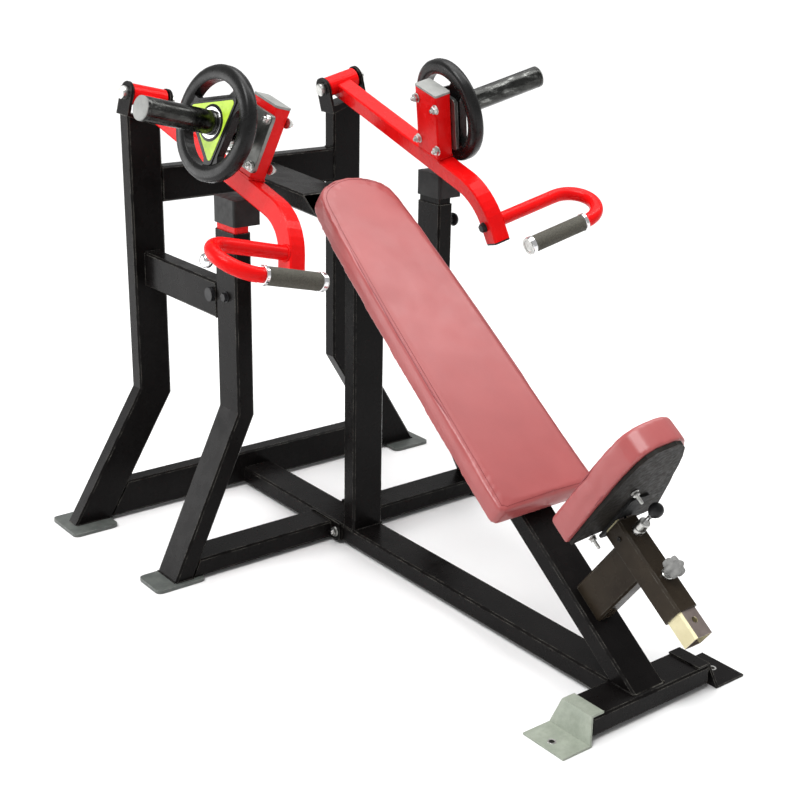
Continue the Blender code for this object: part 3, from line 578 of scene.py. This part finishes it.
def cushion(source, name, body, hold):
    """Copies a CAD pad, remeshes it and lets cloth pressure crown it.

    hold(point) is true for points that rest on the board and stay still.
    """
    mesh = source.data.copy()
    mesh.name = name
    obj = bpy.data.objects.new(name, mesh)
    bpy.context.scene.collection.objects.link(obj)
    remesh = obj.modifiers.new("remesh", "REMESH")
    remesh.mode = "VOXEL"
    remesh.voxel_size = 0.004
    smooth = obj.modifiers.new("relax", "SMOOTH")
    smooth.iterations = 2
    smooth.factor = 0.5
    bpy.context.view_layer.update()
    dg = bpy.context.evaluated_depsgraph_get()
    base = bpy.data.meshes.new_from_object(obj.evaluated_get(dg))
    obj.modifiers.clear()
    obj.data = base
    start = [v.co.copy() for v in base.vertices]
    group = obj.vertex_groups.new(name="held")
    group.add([v.index for v in base.vertices if hold(v.co)], 1.0, "REPLACE")
    cloth = obj.modifiers.new("cloth", "CLOTH")
    cs = cloth.settings
    cs.quality = 5
    cs.mass = 0.3
    cs.tension_stiffness = 22.0
    cs.compression_stiffness = 22.0
    cs.shear_stiffness = 8.0
    cs.bending_stiffness = 2.0
    cs.use_pressure = True
    cs.uniform_pressure_force = PAD_PRESSURE
    cs.vertex_group_mass = "held"
    cs.effector_weights.gravity = 0.0
    cloth.collision_settings.use_collision = False
    scene = bpy.context.scene
    scene.frame_start = 1
    scene.frame_end = CLOTH_FRAMES
    for number in range(1, CLOTH_FRAMES + 1):
        scene.frame_set(number)
    dg = bpy.context.evaluated_depsgraph_get()
    done = bpy.data.meshes.new_from_object(obj.evaluated_get(dg))
    obj.modifiers.clear()
    for v, old in zip(done.vertices, start):
        move = v.co - old
        if move.length > CROWN_LIMIT:
            v.co = old + move.normalized() * CROWN_LIMIT
    obj.data = done
    scene.frame_set(1)
    relax = obj.modifiers.new("settle", "SMOOTH")
    relax.iterations = 2
    relax.factor = 0.5
    sub = obj.modifiers.new("finer", "SUBSURF")
    sub.levels = 1
    sub.render_levels = 1
    obj.data.materials.clear()
    obj.data.materials.append(VINYL)
    obj.data.shade_smooth()
    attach(obj, body)
    return obj


# back pad: (distance up the bench, half width) along its side, then
# (half width, distance up the bench) round its top end
BACK_SIDE = ((98, 116), (104, 124), (112, 127), (336, 121), (594, 114), (780, 106), (870, 98))
BACK_TIP = ((91, 900), (78, 916), (66, 925), (49, 932), (35, 938), (0, 943))


def back_outline(h, inset):
    """Loop round the back pad at height h over the bench line."""
    pts = [(w - inset, s + (inset if s < 110 else 0)) for s, w in BACK_SIDE]
    pts += [(x * (1 - inset / 110.0), s - inset) for x, s in BACK_TIP]
    loop = pts + [(-x, s) for x, s in reversed(pts) if x > 0.5]
    return [world(bench(s, h, x)) for x, s in loop]


# seat pad: (distance ahead, half width) along its side; it sits a little turned
SEAT_SWIVEL = math.radians(11.0)
SEAT_OUT = ((-35, 101), (-30, 107), (10, 101), (80, 91), (112, 84), (144, 80), (180, 72),
            (215, 60), (232, 48), (242, 30), (246, 12))
SEAT_BASE_T = 101.6


def seat_pad_point(x, v, t):
    across = Vector((math.cos(SEAT_SWIVEL), 0, 0)) + SEAT_N * math.sin(SEAT_SWIVEL)
    ahead = SEAT_N * math.cos(SEAT_SWIVEL) - Vector((math.sin(SEAT_SWIVEL), 0, 0))
    return seat(SEAT_BASE_T + t, 6.0) + across * x + ahead * v


def seat_outline(t, inset):
    """Loop round the seat pad at height t over its board."""
    pts = [(w - inset, v + (inset if v < -20 else 0) - (inset if v > 225 else 0))
           for v, w in SEAT_OUT]
    loop = pts + [(-x, v) for x, v in reversed(pts)]
    return [world(seat_pad_point(x, v, t)) for x, v in loop]


def seam(name, loop, pad, body, radius, push=0.0):
    """Piping that follows the pad's own surface."""
    tree = nearest_on(pad)
    path = []
    for p in loop:
        hit, normal, _, _ = tree.find_nearest(p)
        path.append(hit + normal * push)
    for _ in range(4):
        path = [(path[k - 1] + path[k] * 2 + path[(k + 1) % len(path)]) / 4
                for k in range(len(path))]
    bm = bmesh.new()
    tube_into(bm, path, radius, 8, closed=True)
    return to_object(name, bm, PIPING, body, None)


def stitches(name, loop, pad, body, step=0.0042, radius=0.00042):
    """Short thread stitches lying along a seam."""
    tree = nearest_on(pad)
    pts = []
    total = len(loop)
    for k in range(total):
        a, b = loop[k], loop[(k + 1) % total]
        count = max(1, round((b - a).length / step))
        pts += [a.lerp(b, j / count) for j in range(count)]
    bm = bmesh.new()
    for k in range(len(pts)):
        a, b = pts[k], pts[(k + 1) % len(pts)]
        mid = a.lerp(b, 0.5)
        ends = []
        for q, lift in ((a.lerp(b, 0.12), 0.0), (mid, 0.0004), (a.lerp(b, 0.88), 0.0)):
            hit, normal, _, _ = tree.find_nearest(q)
            ends.append(hit + normal * (lift + 0.0001))
        tube_into(bm, ends, radius, 5)
    return to_object(name, bm, THREAD, body, None)


def build_pads():
    back = cushion(nodes["back_pad"], "back_cushion", "frame",
                   lambda p: (p - world(bench(0, 0))).dot(BENCH_N) < HELD_DEPTH)
    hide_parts("back_pad")
    seam("back_piping_top", back_outline(56.0, -1.5), back, "frame", 0.0019, 0.0007)
    seam("back_piping_low", back_outline(9.0, -2.0), back, "frame", 0.0014)
    stitches("back_stitches", back_outline(60.0, 9.0), back, "frame")
    pad = cushion(nodes["seat_pad"], "seat_cushion", "seat",
                  lambda p: (p - world(seat(SEAT_BASE_T, 0))).dot(SEAT_S) < HELD_DEPTH)
    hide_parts("seat_pad")
    seam("seat_piping_top", seat_outline(63.0, -1.5), pad, "seat", 0.0019, 0.0007)
    seam("seat_piping_low", seat_outline(9.0, -2.0), pad, "seat", 0.0014)
    stitches("seat_stitches", seat_outline(70.0, 9.0), pad, "seat")


# ------------------------------------------------------------ weight plates, horns, handles
PLATE_A = {-1: 97.0, 1: 31.0}
PLATE_THICK = 29.0
PLATE_R = 115.0
HORN_S, HORN_H = 395.0, 95.0
HOLE_R, HOLE_FLAT = 85.0, 52.0
PANEL_A, PANEL_R, PANEL_ROUND = 23.0, 74, 8
HORN_START, HORN_END, HORN_R = 29.0, 289.0, 24.0
PLATE_TURN = {-1: 62.0, 1: 122.0}


def cut_away(obj, bm):
    """Cuts a closed bmesh out of a piece for good."""
    mesh = bpy.data.meshes.new("cutter")
    bmesh.ops.recalc_face_normals(bm, faces=bm.faces)
    bm.to_mesh(mesh)
    bm.free()
    cutter = bpy.data.objects.new("cutter", mesh)
    bpy.context.scene.collection.objects.link(cutter)
    mod = obj.modifiers.new("cut", "BOOLEAN")
    mod.solver = "EXACT"
    mod.operation = "DIFFERENCE"
    mod.object = cutter
    bpy.context.view_layer.update()
    dg = bpy.context.evaluated_depsgraph_get()
    obj.data = bpy.data.meshes.new_from_object(obj.evaluated_get(dg))
    obj.modifiers.clear()
    bpy.data.objects.remove(cutter, do_unlink=True)


def hole_outline(start):
    """D-shaped hand hole: an arc outside and a flat side towards the hub."""
    local = []
    for k in range(15):
        a = math.radians(-45 + 90 * k / 14)
        local.append((HOLE_R * math.cos(a), HOLE_R * math.sin(a)))
    local += [(HOLE_FLAT + 4, 54), (HOLE_FLAT, 47), (HOLE_FLAT, -47), (HOLE_FLAT + 4, -54)]
    c, s = math.cos(math.radians(start)), math.sin(math.radians(start))
    return [(x * c - y * s, x * s + y * c) for x, y in local]


def build_weight(tag, sx):
    _, ex, _, n = arm_frame(sx)
    low = arm(sx, PLATE_A[sx], HORN_S, HORN_H)
    side = ex.cross(n).normalized()
    bore, rim = 24.6, PLATE_R
    profile = [(bore, 1.0), (bore, 28.0), (bore + 10, 28.0), (bore + 16, 23.0), (rim - 33, 23.0),
               (rim - 29, 27.0), (rim - 20, PLATE_THICK), (rim - 8, PLATE_THICK - 0.6),
               (rim - 2.5, PLATE_THICK - 3.5), (rim, PLATE_THICK - 9), (rim, 9.0),
               (rim - 2.5, 3.5), (rim - 8, 0.6), (rim - 20, 0.0), (rim - 29, 2.0),
               (rim - 33, 6.0), (bore + 16, 6.0), (bore + 10, 1.0)]
    bm = bmesh.new()
    lathe_into(bm, profile, low, ex, 96, closed=True)
    obj = to_object("weight_disc_" + tag, bm, PLATE, "plate_" + tag, None)
    az = side.cross(n).normalized()
    centre = low + ex * (PLATE_THICK / 2)
    for k in range(3):
        bm = bmesh.new()
        prism_into(bm, hole_outline(PLATE_TURN[sx] + 120 * k), centre - az * 40, side, n, 80.0)
        cut_away(obj, bm)
    obj.data.shade_smooth()
    obj.data.set_sharp_from_angle(angle=math.radians(40))
    soften(obj, 0.0022, 3, 40)
    obj.data.materials.clear()
    obj.data.materials.append(PLATE)
    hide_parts("weight_plate_" + tag)
    # triangular lime panel on the outer face, with a dark border
    face = centre + ex * (PANEL_A - PLATE_THICK / 2)
    sign = 1.0 if side.cross(n).dot(ex) > 0 else -1.0
    for name, size, z, depth, mat in (("plate_panel_rim_", 1.0, -1.0, 3.2, PLATE),
                                      ("plate_panel_", 0.9, 1.0, 2.2, LIME)):
        outline = []
        for k in range(3):
            corner = math.radians(PLATE_TURN[sx] - 180 + 120 * k)
            for step in range(-4, 5):
                a = corner + math.radians(step * 12)
                outline.append((size * (PANEL_R * math.cos(corner) + PANEL_ROUND * math.cos(a)),
                                size * (PANEL_R * math.sin(corner) + PANEL_ROUND * math.sin(a))))
        bm = bmesh.new()
        start = face + ex * (z + (0 if sign > 0 else depth))
        prism_into(bm, outline, start, side, n, depth)
        panel = to_object(name + tag, bm, mat, "plate_" + tag, 30.0)
        ring = bmesh.new()
        lathe_into(ring, ((0.0, -20.0), (25.4, -20.0), (25.4, 20.0), (0.0, 20.0)), face, ex, 64)
        cut_away(panel, ring)
        soften(panel, 0.0008, 2)
    bm = bmesh.new()
    lathe_into(bm, [(24.7, 2.0), (24.7, 4.6), (25.4, 5.2), (30.5, 5.2), (31.5, 4.4), (31.5, 2.0)],
               face, ex, 64, closed=True)
    to_object("plate_hub_ring_" + tag, bm, CHROME, "plate_" + tag, 30.0)
    bm = bmesh.new()
    lathe_into(bm, [(33.6, 2.6), (33.6, 4.0), (35.4, 4.0), (35.4, 2.6)], face, ex, 64, closed=True)
    to_object("plate_hub_groove_" + tag, bm, STEEL, "plate_" + tag, 30.0)


def build_horn(tag, sx):
    ex = arm_frame(sx)[1]
    _, md, mn = mast_axes(sx)
    body = "arm_" + tag
    mid = arm(sx, 20.3, 403.0, 87.0)
    direction = 1.0 if md.cross(mn).dot(ex) > 0 else -1.0
    bm = bmesh.new()
    prism_into(bm, rounded(-49, 49, -62, 62, 9), mid, md * direction, mn, 9.0)
    plate = to_object("horn_flange_" + tag, bm, FLANGE, body, 30.0)
    soften(plate, 0.0014)
    base = arm(sx, HORN_START, HORN_S, HORN_H)
    length = HORN_END - HORN_START
    bm = bmesh.new()
    profile = [(HORN_R - 1.0, 0.0), (HORN_R, 0.2)]
    profile += [(HORN_R, length * k / 12.0) for k in range(1, 12)]
    profile += [(HORN_R, length - 9.0), (23.3, length - 8.4), (23.3, length - 7.6),
                (HORN_R, length - 7.0), (HORN_R, length - 3.0), (23.2, length - 1.0),
                (21.0, length), (14.0, length + 0.3)]
    lathe_into(bm, profile, base, ex, 64)
    bar = to_object("horn_sleeve_" + tag, bm, HORN, body, 35.0)
    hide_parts("weight_horn_" + tag)
    bm = bmesh.new()
    lathe_into(bm, ((23.9, 0.0), (23.9, 1.6), (21.6, 2.4), (4.0, 2.6)), base + ex * (length - 0.6),
               ex, 48)
    to_object("horn_end_cap_" + tag, bm, CAP, body, 35.0)
    # weld bead and a collar where the horn meets its flange
    if sx < 0:
        weld_ring("horn_weld_" + tag, base + ex * 1.5, ex, 24.6, 3.2, body, FLANGE)
        bm = bmesh.new()
        lathe_into(bm, ((24.3, 20.0), (30.0, 20.0), (31.5, 21.5), (31.5, 42.5), (30.0, 44.0),
                        (24.3, 44.0)), base, ex, 48, closed=True)
        to_object("horn_collar_" + tag, bm, STEEL, body, 35.0)
    for i, u in enumerate((-36, 36)):
        for j, w in enumerate((-50, 50)):
            at = mid + md * u + mn * w
            if sx < 0:
                bolt(f"flange_bolt_{tag}_{i}{j}", at + ex * 9.0, ex, body, 16.0, 6.0, 4.0)
            bolt(f"flange_nut_{tag}_{i}{j}", at - ex * 40.3, -ex, body, 16.0, 7.0, 5.0)


def weld_ring(name, centre, axis, radius, size, body, mat):
    """Rippled weld bead round a tube."""
    axis, ax, ay = axes_for(axis)
    path, radii = [], []
    count = 120
    for k in range(count):
        a = 2 * math.pi * k / count
        path.append(world(Vector(centre) + ax * (radius * math.cos(a)) + ay * (radius * math.sin(a))))
        radii.append(size * MM * (0.8 + 0.2 * abs(math.sin(k * 0.9))))
    bm = bmesh.new()
    tube_into(bm, path, radii, 8, closed=True)
    to_object(name, bm, mat, body, None)


def weld_line(name, a, b, size, body, mat):
    """Rippled weld bead along a straight joint, drawn in millimetres."""
    a, b = Vector(a), Vector(b)
    count = max(6, int((b - a).length / 1.6))
    path, radii = [], []
    for k in range(count + 1):
        p = a.lerp(b, k / count)
        path.append(world(p + Vector((rng.uniform(-0.3, 0.3), rng.uniform(-0.3, 0.3),
                                      rng.uniform(-0.3, 0.3)))))
        radii.append(size * MM * (0.82 + 0.18 * math.sin(k * 1.7)))
    bm = bmesh.new()
    tube_into(bm, path, radii, 8)
    return to_object(name, bm, mat, body, None)


HANDLE_S, HANDLE_H, HANDLE_REACH, HANDLE_R = 618.0, -62.0, 168.0, 58.0
HANDLE_D = 30.0


def build_handle(tag, sx):
    ex = arm_frame(sx)[1]
    body = "arm_" + tag
    pts = [(20.3 + 8.0 * k, HANDLE_S) for k in range(19)]
    for k in range(1, 33):
        a = math.pi * k / 32
        pts.append((HANDLE_REACH + HANDLE_R * math.sin(a), HANDLE_S + HANDLE_R * (1 - math.cos(a))))
    end_s = HANDLE_S + 2 * HANDLE_R
    pts += [(HANDLE_REACH - 8.0 * k, end_s) for k in range(1, 19)]
    pts.append((18.0, end_s))
    bm = bmesh.new()
    tube_into(bm, [world(arm(sx, a, s, HANDLE_H)) for a, s in pts], HANDLE_D / 2 * MM, 28)
    obj = to_object("u_handle_" + tag, bm, RED, body, 50.0)
    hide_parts("handle_" + tag)
    weld_ring("handle_weld_" + tag, arm(sx, 21.0, HANDLE_S, HANDLE_H), ex, 15.6, 2.4, body, RED)
    start = arm(sx, 0, end_s, HANDLE_H)
    # rubber sleeve with shallow rings, then collars and an end disc
    profile = [(15.3, 20.0), (17.4, 20.0)]
    for k in range(44):
        a = 21.0 + 3.0 * k
        profile += [(18.0, a), (18.0, a + 2.0), (17.6, a + 2.4), (17.6, a + 2.6)]
    profile += [(17.4, 156.0), (15.3, 156.0)]
    bm = bmesh.new()
    lathe_into(bm, profile, start, ex, 40, closed=True)
    grip = to_object("rubber_grip_" + tag, bm, GRIP, body, 50.0)
    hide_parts("hand_grip_" + tag)
    for name, low, high in (("inner", 10.0, 21.0), ("outer", 154.0, 163.0)):
        bm = bmesh.new()
        lathe_into(bm, ((15.2, low), (18.4, low), (19.4, low + 1.2), (19.4, high - 1.2),
                        (18.4, high), (15.2, high)), start, ex, 48, closed=True)
        to_object(f"grip_collar_{name}_{tag}", bm, CHROME, body, 35.0)
    bm = bmesh.new()
    lathe_into(bm, ((17.8, 0.0), (18.2, 0.8), (18.2, 2.6), (13.0, 2.8), (12.0, 1.6), (4.0, 1.6)),
               start + ex * 10.2, -ex, 40)
    to_object("grip_end_" + tag, bm, STEEL, body, 35.0)
    # bolt that holds the handle's root, seen on the arm's inner face
    bolt("handle_bolt_" + tag, arm(sx, -20.2, HANDLE_S - 3, HANDLE_H - 6), -ex, body, 17.0, 8.0, 0.0,
         True, PLASTIC)


for tag, sx in SIDES:
    build_weight(tag, sx)
    build_horn(tag, sx)
    build_handle(tag, sx)


# ------------------------------------------------------------ seat hardware
def build_seat_hardware():
    base = seat(61, 21.9)
    parts = (("pin_bush", [(6.0, 0.0), (6.0, 3.4), (11.0, 3.4), (11.6, 4.2), (11.6, 14.0),
                           (11.0, 15.0), (9.6, 15.0), (9.6, 17.0), (11.2, 17.6), (11.2, 33.0),
                           (10.0, 34.5), (4.0, 34.5)], STEEL),
             ("pin_stem", [(4.4, 33.0), (4.4, 52.0), (6.5, 56.0), (9.0, 60.0), (9.0, 63.0)], CHROME),
             ("pin_ball", [(5.0, 60.0), (10.5, 62.0), (13.2, 67.0), (14.0, 73.0), (12.8, 79.0),
                           (9.6, 83.0), (5.0, 84.8), (1.0, 85.0)], PLASTIC))
    for name, profile, mat in parts:
        bm = bmesh.new()
        lathe_into(bm, profile, base, SEAT_N, 40)
        obj = to_object("seat_" + name, bm, mat, "seat_pin", 35.0)
        if name == "pin_bush":
            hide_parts("seat_pull_pin")
    # lobed clamp knob
    base = seat(-34, 22.0)
    bm = bmesh.new()
    rows = []
    shape = ((0.55, 18.0), (0.80, 19.0), (0.96, 22.0), (1.0, 26.0), (1.0, 34.0), (0.95, 38.0),
             (0.80, 40.0), (0.45, 40.5), (0.36, 39.0), (0.1, 39.0))
    for scale, height in shape:
        row = []
        for k in range(90):
            a = 2 * math.pi * k / 90
            r = scale * (18.0 + 2.6 * math.cos(6 * a) * (1.0 if scale > 0.5 else 0.0))
            row.append(bm.verts.new(world(base + SEAT_N * height + Vector((1, 0, 0)) * (r * math.cos(a))
                                          + SEAT_S * (r * math.sin(a)))))
        rows.append(row)
    for lower, upper in zip(rows[:-1], rows[1:]):
        for k in range(90):
            m = (k + 1) % 90
            bm.faces.new((lower[k], lower[m], upper[m], upper[k]))
    bm.faces.new(rows[0])
    bm.faces.new(rows[-1])
    lathe_into(bm, ((5.0, 0.0), (5.0, 6.0), (8.0, 7.0), (8.0, 12.0), (10.0, 14.0), (11.0, 18.5)),
               base, SEAT_N, 32)
    obj = to_object("seat_star_knob", bm, KNOB, "seat_knob", 40.0)
    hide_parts("seat_clamp_knob")
    bm = bmesh.new()
    lathe_into(bm, ((5.6, 0.3), (11.0, 0.3), (11.5, 0.8), (11.5, 5.0), (10.5, 6.0), (5.6, 6.0)),
               seat(-34, 25.0), SEAT_N, 32, closed=True)
    to_object("seat_knob_nut", bm, STEEL, "frame", 35.0)
    # bolts that hold the seat board, and the socket screw in the sleeve's side
    for k, (x, v) in enumerate(((-43, -36), (43, -36), (-31, 106))):
        bolt(f"seat_board_bolt_{k}", seat(101.2, v, x), -SEAT_S, "seat", 12.0, 6.0, 16.0)
    bolt("sleeve_screw", seat(66, 2, -25.2), (-1, 0, 0), "frame", 9.0, 2.4, 0.0, False, BLACK)
    for k, s in enumerate((170, 420, 690, 820)):
        bolt(f"back_board_bolt_{k}", bench(s, -40.2, 0), -BENCH_N, "frame", 13.0, 6.0, 3.0)


build_seat_hardware()


# ------------------------------------------------------------ stops and pivots
def build_stop_pins():
    for tag, sx in SIDES:
        z = 692.0 if sx < 0 else 700.0
        reach = 48.0 if sx < 0 else 40.0
        base = Vector((sx * 284.8, 580.0, z))
        mat = STEEL if sx < 0 else PLASTIC
        bm = bmesh.new()
        lathe_into(bm, [(5.0, 0.0), (5.0, 3.5), (11.0, 3.5), (11.8, 4.3), (11.8, 13.0), (10.0, 14.5),
                        (10.0, 22.0), (7.0, 27.0), (6.0, 30.0), (7.0, 36.0)], base, (sx, 0, 0), 36)
        obj = to_object("stop_pin_body_" + tag, bm, mat, "stop_knob_" + tag, 35.0)
        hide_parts("stop_pin_" + tag)
        bm = bmesh.new()
        lathe_into(bm, [(6.0, 35.0), (12.0, 37.0), (15.0, 41.0), (15.6, reach), (14.0, reach + 5),
                        (10.0, reach + 8.5), (3.0, reach + 9.6)], base, (sx, 0, 0), 40)
        to_object("stop_pin_knob_" + tag, bm, CHROME if sx < 0 else PLASTIC, "stop_knob_" + tag, 40.0)
        bolt("post_screw_" + tag, (sx * 288.2, 577.0, 609.0), (sx, 0, 0), "frame", 17.0, 7.0, 0.0,
             True, PLASTIC)


build_stop_pins()


def build_base_hardware():
    for tag, sx in SIDES:
        bolt(f"base_bolt_{tag}", (sx * 48.5, 522.0, 28.0), (sx, 0, 0), "frame", 17.0, 7.0, 3.0)
        bolt(f"base_bolt_back_{tag}", (sx * 40.2, 628.0, 28.0), (sx, 0, 0), "frame", 15.0, 6.0, 2.0)
        # floor bolt hole ring in the seat-end feet, and a dark disc inside it as painted shade for the
        # hole's depth
        bm = bmesh.new()
        lathe_into(bm, ((5.2, 4.02), (5.4, 4.5), (8.0, 4.6), (8.4, 4.1)), (sx * 214.0, -379.0, 0.0),
                   (0, 0, 1), 28, closed=True)
        to_object("floor_hole_rim_" + tag, bm, STEEL, "frame", 35.0)
        # dark disc: painted shade in place of the hole's depth
        bm = bmesh.new()
        lathe_into(bm, ((5.0, 4.02), (5.0, 4.25)), (sx * 214.0, -379.0, 0.0), (0, 0, 1), 28)
        to_object("floor_hole_" + tag, bm, BOARD, "frame", 35.0)


build_base_hardware()


def build_welds():
    lines = []
    for _, sx in SIDES:
        # side rails to both posts
        for y in (618.5, 929.5):
            lines.append(((sx * 288.4, y, 554), (sx * 288.4, y, 630)))
            lines.append(((sx * 250, y, 632.4), (sx * 286, y, 632.4)))
        # top crossbar to rear posts
        lines.append(((sx * 233.5, 929.4, 743), (sx * 233.5, 929.4, 819)))
        lines.append(((sx * 233.5, 932, 821.4), (sx * 233.5, 968, 821.4)))
        # posts to foot plates
        lines.append(((sx * 403, 929.5, 8.6), (sx * 494, 929.5, 8.6)))
        lines.append(((sx * 410, 537.5, 8.6), (sx * 452, 537.5, 8.6)))
        lines.append(((sx * 453.6, 540, 8.6), (sx * 453.6, 616, 8.6)))
        # centre beam to nose crossbar, column to beam
        lines.append(((sx * 38, -339.4, 48.4), (sx * 4, -339.4, 48.4)))
        lines.append(((sx * 40.4, 463, 48.8), (sx * 40.4, 501, 48.8)))
        # bench tube foot on the nose crossbar
        lines.append(((sx * 40.4, -352, 48.8), (sx * 40.4, -408, 48.8)))
    lines.append(((-38, 461.6, 48.6), (38, 461.6, 48.6)))
    lines.append(((-54, 929.4, 806.8), (54, 929.4, 806.8)))
    for k, (a, b) in enumerate(lines):
        weld_line(f"weld_{k:02d}", a, b, 2.2, "frame", BLACK)
    for tag, sx in SIDES:
        ex, md, _ = mast_axes(sx)
        root = arm(sx, 0, 403.0, 11.8)
        for side in (-1, 1):
            a = root + ex * (side * 19.5) - md * 38
            b = root + ex * (side * 19.5) + md * 38
            weld_line(f"mast_weld_{tag}_{side + 1}", a, b, 2.0, "arm_" + tag, RED)
        for end in (-1, 1):
            a = root + md * (end * 40.2) - ex * 18
            b = root + md * (end * 40.2) + ex * 18
            weld_line(f"mast_end_weld_{tag}_{end + 1}", a, b, 2.0, "arm_" + tag, RED)


build_welds()
build_pads()


# ------------------------------------------------------------ stage, camera, light
FLOOR_HALF = 45.0


def build_stage():
    bm = bmesh.new()
    size = FLOOR_HALF
    verts = [bm.verts.new((x, y, -0.0005)) for x, y in ((-size, -size), (size, -size),
                                                         (size, size), (-size, size))]
    bm.faces.new(verts)
    mesh = bpy.data.meshes.new("floor")
    bm.to_mesh(mesh)
    bm.free()
    m = Mat("floor_white").set(Specular_IOR_Level=0.15)
    m.colour(m.ramp(m.noise(2.0, 2.0), ((0.3, (0.86, 0.86, 0.86)), (0.7, (0.89, 0.89, 0.89)))))
    m.rough(m.scalar(m.noise(3.0, 2.0), 0.3, 0.7, 0.7, 0.8))
    mesh.materials.append(m.mat)
    floor = bpy.data.objects.new("floor", mesh)
    bpy.context.scene.collection.objects.link(floor)


def build_camera():
    az, el, roll = math.radians(-39.08), math.radians(19.78), math.radians(1.41)
    back = Vector((math.sin(az) * math.cos(el), -math.cos(az) * math.cos(el), math.sin(el)))
    right0 = Vector((math.cos(az), math.sin(az), 0))
    up0 = back.cross(right0).normalized()
    right = math.cos(roll) * right0 + math.sin(roll) * up0
    up = -math.sin(roll) * right0 + math.cos(roll) * up0
    data = bpy.data.cameras.new("camera")
    cam = bpy.data.objects.new("camera", data)
    bpy.context.scene.collection.objects.link(cam)
    rotation = Matrix((right, up, back)).transposed().to_4x4()
    cam.matrix_world = Matrix.Translation(world((-1767.3, -1919.5, 1415.2))) @ rotation
    data.sensor_width = 36.0
    data.lens = 64.17
    data.shift_x = -0.0345
    data.shift_y = 0.0049
    bpy.context.scene.camera = cam


def area(name, at, target, size, power, colour=(1, 1, 1)):
    light = bpy.data.lights.new(name, "AREA")
    light.shape = "RECTANGLE"
    light.size, light.size_y = size
    light.energy = power
    light.color = colour
    obj = bpy.data.objects.new(name, light)
    obj.location = at
    obj.rotation_mode = "QUATERNION"
    obj.rotation_quaternion = (Vector(target) - Vector(at)).to_track_quat("-Z", "Y")
    bpy.context.scene.collection.objects.link(obj)


def sun(name, towards, power, spread):
    light = bpy.data.lights.new(name, "SUN")
    light.energy = power
    light.angle = math.radians(spread)
    obj = bpy.data.objects.new(name, light)
    obj.rotation_mode = "QUATERNION"
    obj.rotation_quaternion = Vector(towards).to_track_quat("Z", "Y")
    bpy.context.scene.collection.objects.link(obj)


def build_light():
    world_data = bpy.data.worlds.new("studio")
    bpy.context.scene.world = world_data
    world_data.use_nodes = True
    background = world_data.node_tree.nodes["Background"]
    background.inputs[0].default_value = (1.0, 1.0, 1.0, 1.0)
    background.inputs[1].default_value = 0.5
    sun("key", (-0.75, -0.15, 1.35), 2.3, 30.0)
    sun("fill", (0.5, 0.6, 1.6), 0.6, 45.0)
    area("top", (0.3, 0.2, 3.2), (0, 0, 0.4), (2.2, 2.2), 45.0)
    area("left", (-2.6, 2.4, 0.9), (0, 0, 0.4), (2.2, 1.6), 40.0)
    area("gloss", (1.5, -0.1, 2.3), (0, 0, 0.6), (0.5, 1.3), 9.0)
    bpy.context.scene.view_settings.view_transform = "Standard"


build_stage()
build_camera()
build_light()
